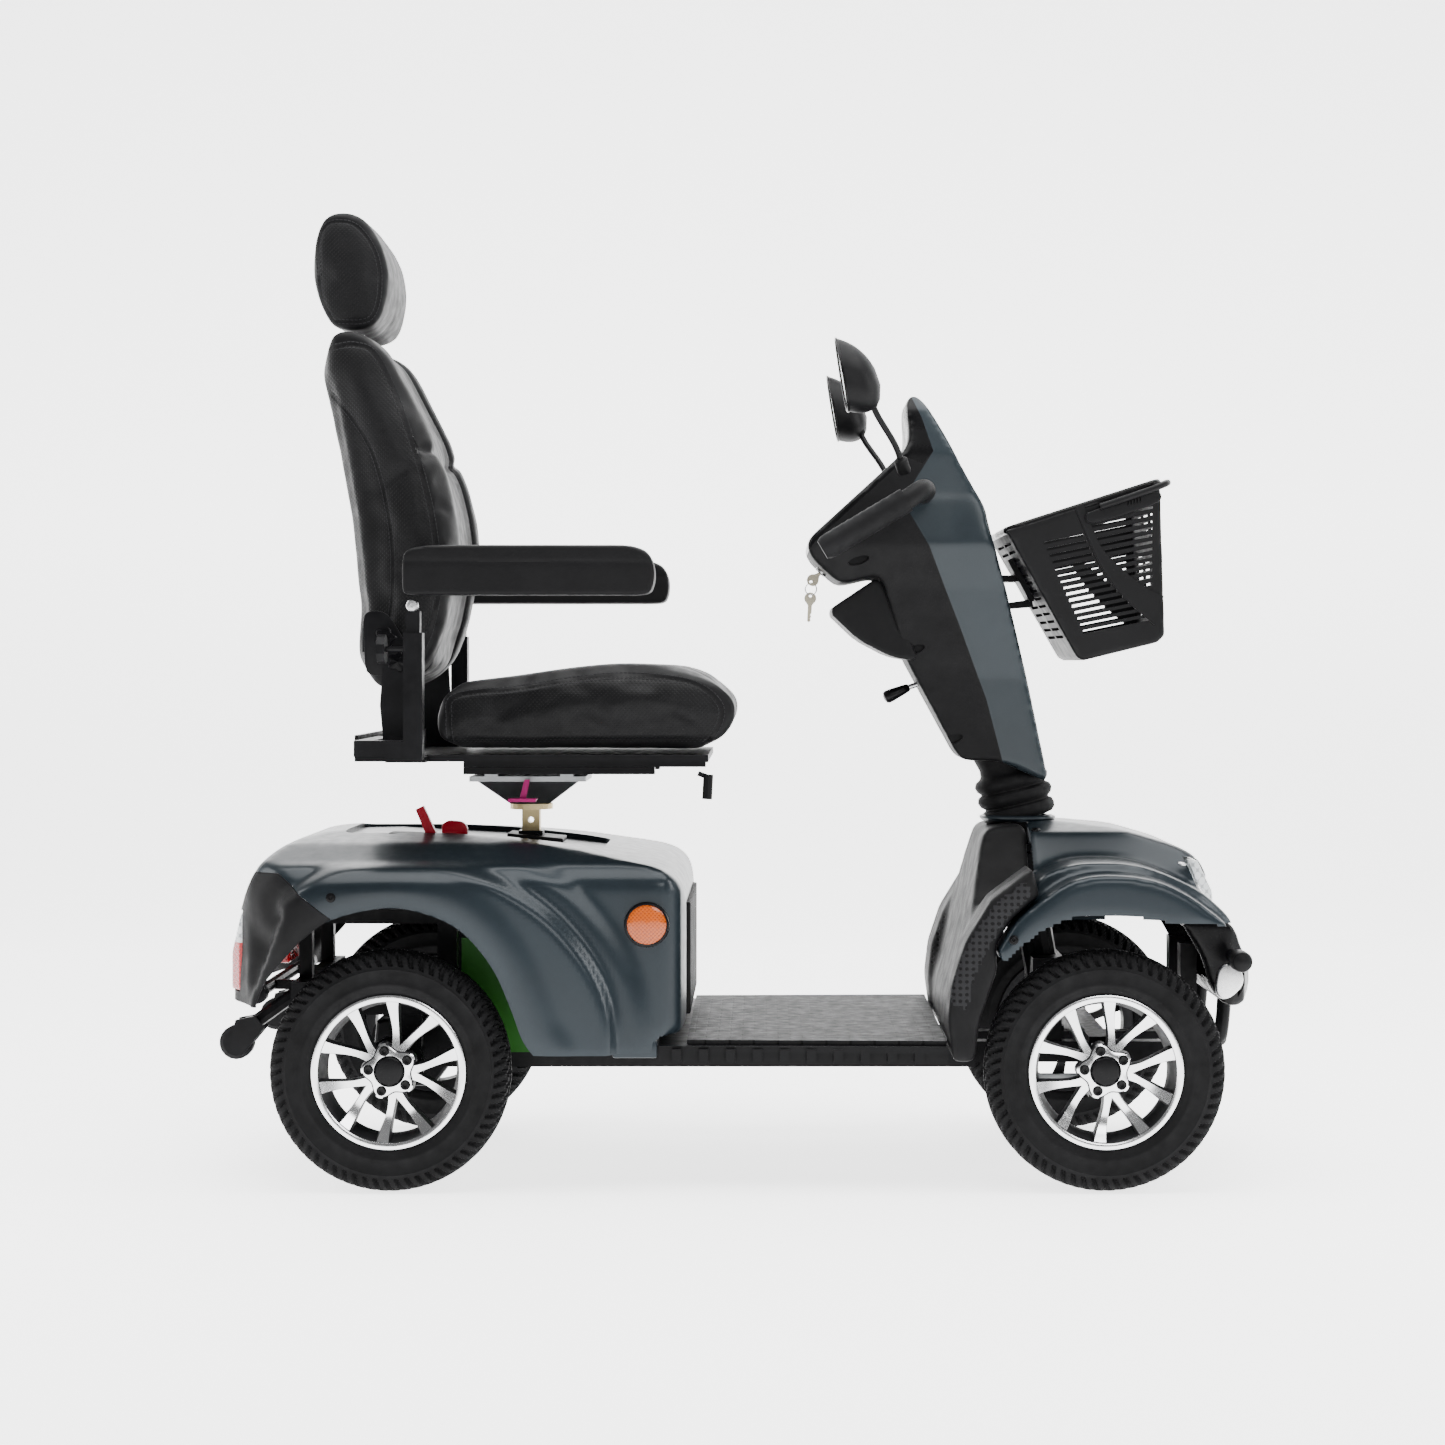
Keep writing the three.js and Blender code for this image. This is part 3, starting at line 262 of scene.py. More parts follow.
MATERIALS = {
    "body_paint": car_paint("body_paint_slate", (0.0095, 0.0145, 0.0185)),
    "tiller_paint": car_paint("tiller_paint_grey", (0.013, 0.0185, 0.0225)),
    "black_plastic": moulded("black_moulding", (0.0036, 0.0036, 0.004), 0.44),
    "rough_plastic": moulded("black_moulding_coarse", (0.0036, 0.0036, 0.004), 0.52, 900, 0.0003),
    "gloss_plastic": moulded("black_moulding_gloss", (0.003, 0.003, 0.0034), 0.24, 1400, 0.00002),
    "leather": leather("leather_plain", False),
    "leather_side": leather("leather_perforated", True),
    "thread": rubber("stitching_thread", (0.014, 0.014, 0.015), 0.6),
    "tyre_rubber": rubber("tyre_rubber_black"),
    "mat_rubber": rubber("mat_rubber_black", (0.0045, 0.0045, 0.005), 0.6),
    "rim_face": metal("rim_machined_face", (0.83, 0.835, 0.845), 0.17, (1, 40, 1), 300, 0.00001),
    "rim_dark": powder_coat("rim_black_recess", (0.014, 0.014, 0.015)),
    "cast_alloy": metal("cast_alloy_rough", (0.33, 0.34, 0.35), 0.42, None, 700, 0.0003),
    "zinc_brass": metal("yellow_zinc_plate", (0.46, 0.37, 0.2), 0.33),
    "bright_zinc": metal("bright_zinc_plate", (0.66, 0.66, 0.67), 0.28),
    "frame_steel": powder_coat("black_powder_coat"),
    "red_plastic": moulded("red_moulding", (0.24, 0.003, 0.012), 0.32, 1800, 0.00004),
    "magenta_plastic": moulded("magenta_moulding", (0.4, 0.015, 0.15), 0.34, 1800, 0.00004),
    "battery_green": moulded("battery_case_green", (0.012, 0.075, 0.008), 0.42),
    "amber_lens": lens("amber_prism_lens", (0.36, 0.062, 0.003), 0.0042, 0.1),
    "red_lens": lens("red_prism_lens", (0.3, 0.003, 0.006), 0.006, 0.1),
    "clear_lens": lens("clear_ribbed_lens", (0.75, 0.79, 0.82), 0.012, 0.55),
    "key_steel": metal("key_nickel_silver", (0.5, 0.46, 0.36), 0.3),
    "mirror_glass": metal("mirror_silver", (0.88, 0.9, 0.91), 0.04, None, 200, 0.0),
}
FINISH_OF_SLOT = {"rim_alloy": "rim_face"}


# ---------------------------------------------------------------- mesh helpers
def dress(obj, body, slot, material=None, replaces=(), smooth=True):
    if not obj.data.materials:
        obj.data.materials.append(MATERIALS[material or slot])
    if smooth:
        smooth_by_angle(obj)
    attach(obj, body)
    if replaces:
        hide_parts(*replaces)
    return obj


def smooth_by_angle(obj, degrees=38):
    for polygon in obj.data.polygons:
        polygon.use_smooth = True
    work = bmesh.new()
    work.from_mesh(obj.data)
    for edge in work.edges:
        if len(edge.link_faces) == 2 and edge.calc_face_angle(0) > math.radians(degrees):
            edge.smooth = False
    work.to_mesh(obj.data)
    work.free()


def strip_faces(rows, columns, wrap_rows=False, wrap_columns=False):
    """Quads over a grid of points stored row by row."""
    faces = []
    for r in range(rows if wrap_rows else rows - 1):
        for c in range(columns if wrap_columns else columns - 1):
            a, b = r * columns + c, r * columns + (c + 1) % columns
            d = (r + 1) % rows * columns
            faces.append((a, b, d + (c + 1) % columns, d + c))
    return faces


def outwards(obj):
    work = bmesh.new()
    work.from_mesh(obj.data)
    bmesh.ops.recalc_face_normals(work, faces=work.faces)
    work.to_mesh(obj.data)
    work.free()
    return obj


def apply_modifiers(obj):
    depsgraph = bpy.context.evaluated_depsgraph_get()
    mesh = bpy.data.meshes.new_from_object(obj.evaluated_get(depsgraph))
    obj.modifiers.clear()
    old, obj.data = obj.data, mesh
    bpy.data.meshes.remove(old)
    return obj


def loose(name, points, faces):
    """A bare mesh object for use as a cutter or as a piece that is dressed later."""
    mesh = bpy.data.meshes.new(name)
    mesh.from_pydata([tuple(p) for p in points], [], [tuple(f) for f in faces])
    mesh.validate()
    obj = bpy.data.objects.new(name, mesh)
    bpy.context.scene.collection.objects.link(obj)
    return outwards(obj)


def prism(outline, y0, y1, name="cutter"):
    """An [x, z] outline in millimetres, extruded across the scooter."""
    n = len(outline)
    points = [at(x, y0, z) for x, z in outline] + [at(x, y1, z) for x, z in outline]
    faces = [tuple(range(n)), tuple(range(2 * n - 1, n - 1, -1))]
    faces += [(i, (i + 1) % n, n + (i + 1) % n, n + i) for i in range(n)]
    return loose(name, points, faces)


def boolean(obj, cutter, operation="DIFFERENCE", keep=False):
    modifier = obj.modifiers.new("cut", "BOOLEAN")
    modifier.operation = operation
    modifier.object = cutter
    modifier.solver = "EXACT"
    apply_modifiers(obj)
    if not keep:
        bpy.data.objects.remove(cutter)
    return obj


def copy_of(obj, name):
    other = obj.copy()
    other.data = obj.data.copy()
    other.name = name
    bpy.context.scene.collection.objects.link(other)
    return other


def join_objects(name, objects):
    """Several loose meshes as one object; the first one's materials come first."""
    work = bmesh.new()
    slots = []
    for obj in objects:
        before = len(work.faces)
        work.from_mesh(obj.data)
        work.faces.ensure_lookup_table()
        own = [m for m in obj.data.materials]
        for face in work.faces[before:]:
            m = own[face.material_index] if own else None
            if m not in slots:
                slots.append(m)
            face.material_index = slots.index(m)
    mesh = bpy.data.meshes.new(name)
    work.to_mesh(mesh)
    work.free()
    for m in slots:
        if m:
            mesh.materials.append(m)
    for obj in objects:
        bpy.data.objects.remove(obj)
    joined = bpy.data.objects.new(name, mesh)
    bpy.context.scene.collection.objects.link(joined)
    return joined


def tube(points, radius, sides=12, closed=False):
    """A round bar through frame points, with flat caps on its ends."""
    points = [Vector(p) for p in points]
    n = len(points)
    rings = []
    normal = None
    for i, p in enumerate(points):
        ahead = points[(i + 1) % n] if closed or i < n - 1 else p
        behind = points[i - 1] if closed or i > 0 else p
        tangent = (ahead - behind).normalized()
        if normal is None:
            normal = tangent.orthogonal().normalized()
        normal = (normal - normal.dot(tangent) * tangent).normalized()
        other = tangent.cross(normal)
        r = radius(i / max(1, n - 1)) if callable(radius) else radius
        rings.append([p + r * (math.cos(a) * normal + math.sin(a) * other)
                      for a in (2 * math.pi * k / sides for k in range(sides))])
    verts = [v for ring in rings for v in ring]
    faces = strip_faces(n, sides, closed, True)
    if not closed:
        faces.append(tuple(reversed(range(sides))))
        faces.append(tuple(range((n - 1) * sides, n * sides)))
    return verts, faces


def smooth_path(points, steps=8, closed=False):
    """A Catmull-Rom curve through points."""
    points = [Vector(p) for p in points]
    n = len(points)
    path = []
    for i in range(n if closed else n - 1):
        p1, p2 = points[i], points[(i + 1) % n]
        p0 = points[i - 1] if closed or i > 0 else 2 * p1 - p2
        p3 = points[(i + 2) % n] if closed or i < n - 2 else 2 * p2 - p1
        for k in range(steps):
            t = k / steps
            path.append(0.5 * (2 * p1 + (p2 - p0) * t + (2 * p0 - 5 * p1 + 4 * p2 - p3) * t * t
                               + (3 * p1 - p0 - 3 * p2 + p3) * t ** 3))
    if not closed:
        path.append(points[-1])
    return path


def lathe_z(profile, x, y, sides=64, closed=True):
    """A [radius, z] profile in millimetres turned about an upright line."""
    verts = []
    for r, z in profile:
        for k in range(sides):
            a = 2 * math.pi * k / sides
            verts.append(at(x + r * math.cos(a), y + r * math.sin(a), z))
    return verts, strip_faces(len(profile), sides, closed, True)


# ---------------------------------------------------------------- moulded shells
def front_prism(widths, x0, x1):
    """A symmetric front view of [half width, z] points, extruded along the scooter."""
    loop = [(-w, z) for w, z in widths] + [(w, z) for w, z in reversed(widths)]
    n = len(loop)
    points = [at(x, y, z) for x in (x0, x1) for y, z in loop]
    faces = [tuple(range(n)), tuple(range(2 * n - 1, n - 1, -1))]
    faces += [(i, (i + 1) % n, n + (i + 1) % n, n + i) for i in range(n)]
    return loose("front_cutter", points, faces)


def plan_prism(outline, z0, z1):
    """An [x, y] outline extruded upwards."""
    n = len(outline)
    points = [at(x, y, z) for z in (z0, z1) for x, y in outline]
    faces = [tuple(range(n)), tuple(range(2 * n - 1, n - 1, -1))]
    faces += [(i, (i + 1) % n, n + (i + 1) % n, n + i) for i in range(n)]
    return loose("plan_cutter", points, faces)


def box_solid(x0, x1, y0, y1, z0, z1, name="box_cutter"):
    return prism([(x0, z0), (x1, z0), (x1, z1), (x0, z1)], y0, y1, name)


def soften(obj, voxel, rounds):
    """Merges what overlaps, and rounds the edges as a moulding tool would."""
    remesh = obj.modifiers.new("remesh", "REMESH")
    remesh.mode = "VOXEL"
    remesh.voxel_size = voxel / 1000
    smooth = obj.modifiers.new("smooth", "SMOOTH")
    smooth.factor = 0.6
    smooth.iterations = rounds
    return apply_modifiers(obj)


def smooth_only(obj, rounds, factor=0.5):
    smooth = obj.modifiers.new("smooth", "SMOOTH")
    smooth.factor = factor
    smooth.iterations = rounds
    return apply_modifiers(obj)


def drop_faces(obj, unwanted):
    """Deletes the faces whose centre (mm) and normal, in frame axes, the test picks out."""
    work = bmesh.new()
    work.from_mesh(obj.data)
    offset = Vector((REAR_AXLE_X, 0, 0))
    gone = [f for f in work.faces if unwanted(1000 * (f.calc_center_median() - offset), f.normal)]
    bmesh.ops.delete(work, geom=gone, context="FACES")
    work.to_mesh(obj.data)
    work.free()
    return obj


def thicken(obj, wall):
    solidify = obj.modifiers.new("wall", "SOLIDIFY")
    solidify.thickness = wall / 1000
    solidify.offset = -1
    return apply_modifiers(obj)


def coordinates(obj):
    """The mesh's points in millimetres from the rear axle, as an array."""
    flat = np.empty(3 * len(obj.data.vertices))
    obj.data.vertices.foreach_get("co", flat)
    points = flat.reshape(-1, 3) * 1000
    points[:, 0] -= REAR_AXLE_X * 1000
    return points


def set_coordinates(obj, points):
    moved = points.copy()
    moved[:, 0] += REAR_AXLE_X * 1000
    obj.data.vertices.foreach_set("co", (moved / 1000).ravel())
    obj.data.update()


def normals(obj):
    flat = np.empty(3 * len(obj.data.vertices))
    obj.data.vertices.foreach_get("normal", flat)
    return flat.reshape(-1, 3)


def distance_to(path, points):
    """How far each (x, z) point is from an open [x, z] line."""
    best = np.full(len(points), 1e9)
    for (ax, az), (bx, bz) in zip(path, path[1:]):
        ab = np.array([bx - ax, bz - az])
        t = np.clip(((points - [ax, az]) @ ab) / (ab @ ab), 0, 1)
        near = np.array([ax, az]) + t[:, None] * ab
        best = np.minimum(best, np.hypot(*(points - near).T))
    return best


def step(low, high, values):
    """Goes smoothly from 0 at low to 1 at high."""
    t = np.clip((values - low) / (high - low), 0, 1)
    return t * t * (3 - 2 * t)


def open_curve(points, steps=6):
    return [(p.x, p.z) for p in smooth_path([(x, 0, z) for x, z in points], steps)]


def inside(outline, points):
    """Which (x, z) points lie inside a closed outline."""
    x, z = points[:, 0], points[:, 1]
    hit = np.zeros(len(points), bool)
    for (ax, az), (bx, bz) in zip(outline, outline[1:] + outline[:1]):
        crosses = (az > z) != (bz > z)
        hit ^= crosses & (x < (bx - ax) * (z - az) / ((bz - az) or 1e-9) + ax)
    return hit


# ---------------------------------------------------------------- wheels
TYRE_R = 179
WHEEL_Y = 280
WHEELBASE = 1060
TREAD_BLOCKS = 64
BLOCK_STEPS = 8
SPOKE_PAIRS = 5
FIRST_SPOKE = math.radians(32)


def tyre_mesh(outer):
    """A pneumatic tyre about its own centre, with slanted shoulder blocks and a zigzag middle rib."""
    half = [(114, 30), (117, 33.5), (122, 36), (126, 37), (128, 38.4), (131, 38.6), (133, 37.6),
            (142, 38.6),
            (150, 38.8), (152, 39.4), (154, 38.4), (157, 37.8), (158.5, 37.6), (163, 36.6), (168, 34.6),
            (172, 31.5), (174.5, 28), (176.5, 23), (177.8, 18), (178.2, 13), (178.6, 12.2), (178.8, 6),
            (179, 5.2), (179, 0)]
    profile = half + [(r, -w) for r, w in reversed(half[:-1])]
    columns = TREAD_BLOCKS * BLOCK_STEPS
    verts = []
    for r, w in profile:
        for k in range(columns):
            phase = k / BLOCK_STEPS
            deep = 0.0
            if r > 157.8 and abs(w) > 12.5:
                slant = 0.9 * (abs(w) - 25) / 14
                cell = (phase + math.copysign(0.25, w) + slant) % 1
                deep = 5.2 if cell > 0.66 else 0.0
            elif 5.6 < abs(w) < 12.6:
                deep = 4.0
            elif abs(w) <= 5.6:
                deep = 3.2 if (phase * 0.5 + 0.04 * w) % 1 > 0.86 else 0.0
            zigzag = 1.4 * (1 if (phase * 0.5) % 1 < 0.5 else -1) if 4 < abs(w) < 13 else 0.0
            a = 2 * math.pi * k / columns
            radial = (r - deep * (0.4 if w and abs(w) > 36.4 else 1.0))
            side = w - math.copysign(deep * (0.75 if abs(w) > 33 else 0.2), w) if w else w
            verts.append((radial * math.cos(a) / 1000, outer * (side + zigzag) / 1000,
                          radial * math.sin(a) / 1000))
    faces = strip_faces(len(profile), columns, True, True)
    return verts, faces


def rim_parts(outer):
    """Points and faces of the rim about its own centre: barrel, five split spokes and hub."""
    parts = []
    barrel = [(115, 32), (114.2, 34.4), (112.6, 35.2), (106.4, 34.8), (104.6, 33.6), (103.8, 31),
              (102, 14),
              (98, 4), (96, -14), (99, -28), (108, -33), (113, -35), (115, -32), (113, -24), (104, -16),
              (104, 12), (112, 24)]
    parts.append(turned(barrel, outer, 120))
    parts += [arm for i in range(SPOKE_PAIRS) for side in (-1, 1)
              for arm in [spoke_arm(FIRST_SPOKE + i * 2 * math.pi / SPOKE_PAIRS, side, outer)]]
    parts.append(hub_disc(outer))
    return parts


def turned(profile, outer, sides, centre=(0, 0)):
    verts = [((centre[0] + r * math.cos(a)) / 1000, outer * w / 1000,
              (centre[1] + r * math.sin(a)) / 1000)
             for r, w in profile for a in (2 * math.pi * k / sides for k in range(sides))]
    return verts, strip_faces(len(profile), sides, True, True)


def spoke_arm(middle, side, outer):
    """One arm of a split spoke: slim at its waist, flared at both ends, with a bevelled face."""
    stations = 15
    section = [(-1.0, -1.0), (-0.94, -0.12), (-0.84, 0.0), (0.84, 0.0), (0.94, -0.12), (1.0, -1.0)]
    verts = []
    for i in range(stations):
        t = i / (stations - 1)
        r = 26 + 79 * t
        spread = math.radians(17.0 + 15.0 * (1 - t) ** 1.7)
        angle = middle + side * spread
        half = 5.6 + 2.6 * max(0, 1 - 3.0 * t) + 5.2 * max(0, (t - 0.4) / 0.6) ** 1.7
        face = 22 - 3.5 * math.sin(math.pi * min(1, t * 1.1)) + 9.5 * max(0, (t - 0.5) / 0.5) ** 2
        depth = 15 + 4 * (1 - t)
        for u, v in section:
            across = half * u * (1.15 if v < -0.5 else 1.0)
            x = r * math.cos(angle) - across * math.sin(angle)
            z = r * math.sin(angle) + across * math.cos(angle)
            verts.append((x / 1000, outer * (face + depth * v) / 1000, z / 1000))
    n = len(section)
    faces = strip_faces(stations, n, False, True)
    faces.append(tuple(range(n)))
    faces.append(tuple(range((stations - 1) * n, stations * n)))
    return verts, faces


def hub_disc(outer):
    """A lobed hub face, with a boss under each bolt."""
    sides = 100
    rings = [(0.62, 24, 0), (0.94, 23.4, 1), (1.0, 22.0, 1), (1.04, 6.0, 1), (0.3, 4.0, 0)]
    verts = []
    for scale, w, lobed in rings:
        for k in range(sides):
            a = 2 * math.pi * k / sides
            lobe = math.cos(SPOKE_PAIRS * (a - FIRST_SPOKE))
            r = scale * (37.5 + 5.0 * lobe * lobed)
            verts.append((r * math.cos(a) / 1000, outer * w / 1000, r * math.sin(a) / 1000))
    faces = strip_faces(len(rings), sides, True, True)
    return verts, faces


def bolts_and_cap(outer):
    """The black centre cap and the five socket-head bolts."""
    cap = [(0.01, 28.6), (14, 28.4), (19.5, 27.6), (21.4, 25.6), (21.8, 18), (0.01, 18)]
    parts = [turned(cap, outer, 64)]
    for i in range(SPOKE_PAIRS):
        a = FIRST_SPOKE + i * 2 * math.pi / SPOKE_PAIRS
        centre = (31 * math.cos(a), 31 * math.sin(a))
        head = [(2.6, 24.2), (2.8, 27.6), (5.2, 27.9), (6.0, 27.2), (6.1, 24.4), (7.6, 24.2), (7.8, 20),
                (0.01, 20), (0.01, 24.2)]
        parts.append(turned(head, outer, 20, centre))
    return parts


def mesh_from(name, parts):
    verts, faces = [], []
    for points, quads in parts:
        offset = len(verts)
        verts += points
        faces += [tuple(offset + i for i in face) for face in quads]
    return loose(name, verts, faces)


def add_wheel(end, side, x, outer):
    body = f"{end}_wheel_{side}"
    centre = at(x, outer * WHEEL_Y, TYRE_R)
    tyre = loose(f"{end}_tyre_{side}_tread", *tyre_mesh(outer))
    rim = mesh_from(f"{end}_rim_{side}_spokes", rim_parts(outer))
    trim = mesh_from(f"{end}_hub_{side}_bolts", bolts_and_cap(outer))
    for obj in (tyre, rim, trim):
        obj.data.transform(Matrix.Translation(centre))
    dress(tyre, body, "tyre_rubber", replaces=(f"tyre_{end}_{side}",))
    rim.data.materials.append(MATERIALS["rim_face"])
    rim.data.materials.append(MATERIALS["rim_dark"])
    for polygon in rim.data.polygons:
        spot = polygon.center - centre
        r = 1000 * math.hypot(spot.x, spot.z)
        facing = polygon.normal.y * outer > 0.86
        lip = r > 104.2 and 1000 * outer * spot.y > 24
        polygon.material_index = 0 if facing or lip else 1
    dress(rim, body, "rim_alloy", replaces=(f"rim_{end}_{side}",))
    dress(trim, body, "rim_alloy", "gloss_plastic")


def add_wheels():
    for end, x in (("rear", 0), ("front", WHEELBASE)):
        for side, outer in (("right", -1), ("left", 1)):
            add_wheel(end, side, x, outer)


# ---------------------------------------------------------------- rear bodywork
BODY_HALF_W = 300
BODY_FRONT_X = 437
REAR_OUTLINE = [
    (-262, 281), (-252, 360), (-230, 430), (-207, 474), (-186, 500), (-158, 516), (-110, 524), (-33, 526),
    (150, 516), (267, 503), (338, 490), (395, 480), (424, 464), (437, 440), (437, 229), (396, 229),
    (396, 197), (-262, 197),
]
REAR_ARCH = [
    (-196, 281), (-178, 316), (-128, 372), (-80, 406), (-4, 423), (55, 415), (109, 389), (155, 335),
    (183, 273), (200, 228), (223, 197),
]
REAR_CREST = [
    (-150, 425), (-120, 446), (-80, 468), (-14, 483), (60, 478), (143, 456), (228, 405), (290, 332),
    (318, 258), (321, 150),
]
TAIL_REGION = [(-330, 472), (-165, 472), (-82, 407), (-128, 372), (-178, 316), (-196, 270), (-330, 270)]
TRAY = (-95, 305, 118)
POST_X = 185


def body_plan(half_width, front):
    right = [(-262, -110), (-248, -205), (-215, -265), (-150, -half_width),
             (front - 29, -half_width), (front - 7, 20 - half_width), (front, 60 - half_width)]
    return right + [(x, -y) for x, y in reversed(right)]


def closed_arch(arch, low):
    """The wheel arch as a closed outline that runs down past the body's lower edge."""
    curve = open_curve(arch, 5)
    return [(curve[0][0] - 14, low)] + curve + [(curve[-1][0] + 2, low)]


def flare(points, facing, arch, crest, proud):
    """How far the fender stands out at each point: a full band round the arch, then two soft steps."""
    flat = points[:, [0, 2]]
    band = closed_arch(arch, 150)
    outline = crest + [(crest[-1][0], 150), (arch[-1][0], 150), (arch[0][0], 150),
                       (arch[0][0] - 10, arch[0][1])]
    within = inside(outline, flat) | inside(band, flat)
    away = np.where(within, 0, distance_to(crest + arch[:2], flat))
    from_edge = distance_to(arch, flat)
    crown = (proud + 3.0 * np.sin(np.clip(from_edge / 60, 0, 1) * math.pi)
             - 3.0 * (1 - step(0, 14, from_edge)))
    second = 0.3 * proud
    height = second + (crown - second) * (1 - step(1, 22, away))
    height = height * (1 - step(40, 74, away))
    return height * step(0.25, 0.7, np.abs(facing))


def rear_solid():
    body = prism(smooth_corners(REAR_OUTLINE, 3), -BODY_HALF_W, BODY_HALF_W, "rear_body")
    boolean(body, plan_prism(body_plan(BODY_HALF_W, BODY_FRONT_X), 100, 700), "INTERSECT")
    crown = [(300, 100), (300, 458), (280, 484), (200, 510), (100, 523), (40, 530)]
    boolean(body, front_prism(crown, -500, 600), "INTERSECT")
    soften(body, 6.5, 9)
    points, facing = coordinates(body), normals(body)[:, 1]
    crest = open_curve(REAR_CREST, 5)
    arch = open_curve(REAR_ARCH, 5)
    shift = flare(points, facing, arch, crest, 36)
    shift *= 1 - 0.6 * step(500, 520, points[:, 2])
    points[:, 1] += np.sign(points[:, 1]) * shift
    set_coordinates(body, points)
    smooth_only(body, 3)
    x0, x1, half = TRAY
    tray = [(x0, 516), (-33, 517), (150, 507), (x1, 489), (x1, 600), (x0, 600)]
    boolean(body, rounded_bar(tray, half, 16), "DIFFERENCE")
    return body


def smooth_corners(outline, rounds):
    """Cuts each corner of a closed outline, again and again, into a round one."""
    for _ in range(rounds):
        cut = []
        for (ax, az), (bx, bz) in zip(outline, outline[1:] + outline[:1]):
            length = math.hypot(bx - ax, bz - az)
            t = min(0.25, 9 / max(length, 1e-6))
            cut.append((ax + t * (bx - ax), az + t * (bz - az)))
            cut.append((bx - t * (bx - ax), bz - t * (bz - az)))
        outline = cut
    return outline


def rounded_bar(outline, half_width, radius):
    """An [x, z] prism whose plan view has round corners."""
    bar = prism(outline, -half_width, half_width)
    xs = [x for x, _ in outline]
    x0, x1 = min(xs), max(xs)
    loop = []
    for cx, cy, start in ((x1 - radius, half_width - radius, 0), (x0 + radius, half_width - radius, 90),
                          (x0 + radius, radius - half_width, 180),
                          (x1 - radius, radius - half_width, 270)):
        loop += [(cx + radius * math.cos(math.radians(start + a)),
                  cy + radius * math.sin(math.radians(start + a)))
                 for a in range(0, 91, 15)]
    return boolean(bar, plan_prism(loop, 0, 2000), "INTERSECT")


def add_rear_body():
    shell = rear_solid()
    drop_faces(shell, lambda c, n: c.z < 232 and n.z < -0.4 or c.z < 205 and abs(n.y) < 0.5)
    thicken(shell, 4)
    arch = closed_arch(REAR_ARCH, 100)
    boolean(shell, prism(arch, -500, 500))
    boolean(shell, box_solid(-400, -180, -400, 400, 0, 274))
    boolean(shell, box_solid(POST_X - 24, POST_X + 24, -30, 30, 470, 600))
    boolean(shell, box_solid(14, 82, -114, -90, 470, 600))
    for side in (-1, 1):
        boolean(shell, box_solid(-320, -198, min(side * 138, side * 238), max(side * 138, side * 238),
                                 289, 412))
    tail = copy_of(shell, "tail_panel_moulded")
    boolean(shell, prism(TAIL_REGION, -500, 500))
    inner = [(-340, 471), (-165.4, 471), (-83.6, 407), (-129, 372.6), (-179, 316.4), (-197, 260),
             (-340, 260)]
    boolean(tail, prism(inner, -500, 500), "INTERSECT")
    shell.name = "rear_body_moulded"
    dress(shell, "chassis", "body_paint", replaces=("rear_body_cover",))
    dress(tail, "chassis", "black_plastic", "rough_plastic", replaces=("tail_panel",))
    skin = surface_of(shell)
    add_reflectors(skin)
    add_rear_details(skin)
    add_tail_lights()


def surface_of(obj):
    return BVHTree.FromPolygons([v.co for v in obj.data.vertices],
                                [p.vertices for p in obj.data.polygons])


def spot_on_side(surface, x, z, side):
    """The outermost point of a surface at an (x, z) place, and the way it faces."""
    start = at(x, side * 600, z)
    spot, facing, _, _ = surface.ray_cast(start, Vector((0, -side, 0)))
    return (spot, facing) if spot else (at(x, side * 300, z), Vector((0, side, 0)))


def turned_on(profile, spot, facing, sides=32):
    """A closed [radius, height] profile in millimetres turned about the line that leaves a surface."""
    axis = facing.normalized()
    u = axis.orthogonal().normalized()
    v = axis.cross(u)
    verts = [spot + (r * math.cos(a) * u + r * math.sin(a) * v + h * axis) / 1000
             for r, h in profile for a in (2 * math.pi * k / sides for k in range(sides))]
    return verts, strip_faces(len(profile), sides, True, True)


SCREW = [(0.02, -2), (6.8, -2), (7.0, 1.2), (6.2, 2.6), (3.4, 3.2), (3.2, 1.6), (0.02, 1.4)]


def add_screw(name, surface, x, z, side, material="gloss_plastic"):
    spot, facing = spot_on_side(surface, x, z, side)
    screw = loose(name, *turned_on(SCREW, spot, facing, 24))
    dress(screw, "chassis", "black_plastic", material)


def add_reflectors(surface):
    for name, side in (("right", -1), ("left", 1)):
        spot, _ = spot_on_side(surface, 381, 396, side)
        facing = Vector((0, side, 0))
        bezel = [(29.4, -3), (29.4, 5.2), (30.6, 6.4), (32.4, 6), (33.6, 3), (34, -3)]
        lens_profile = [(0.02, -2), (29.2, -2), (29.2, 4.6), (27, 5.6), (20, 6.6), (10, 7.2), (0.02, 7.4)]
        ring = loose(f"reflector_bezel_{name}", *turned_on(bezel, spot, facing, 72))
        disc = loose(f"reflector_lens_{name}", *turned_on(lens_profile, spot, facing, 72))
        dress(ring, "chassis", "black_plastic", "gloss_plastic")
        dress(disc, "chassis", "amber_lens", replaces=(f"side_reflector_{name}",))


def bevelled(obj, width, segments=3):
    bevel = obj.modifiers.new("edge", "BEVEL")
    bevel.width = width / 1000
    bevel.segments = segments
    bevel.limit_method = "ANGLE"
    return apply_modifiers(obj)


def frame_plate(x0, x1, y0, y1, low, high, hole, thick):
    """A flat escutcheon with a hole in it, on a top that falls from low to high end."""
    plate = prism([(x0, low), (x1, high), (x1, high + thick), (x0, low + thick)], y0, y1, "plate")
    hx0, hx1, hy0, hy1 = hole
    boolean(plate, box_solid(hx0, hx1, hy0, hy1, 400, 600))
    return bevelled(plate, 1.4)


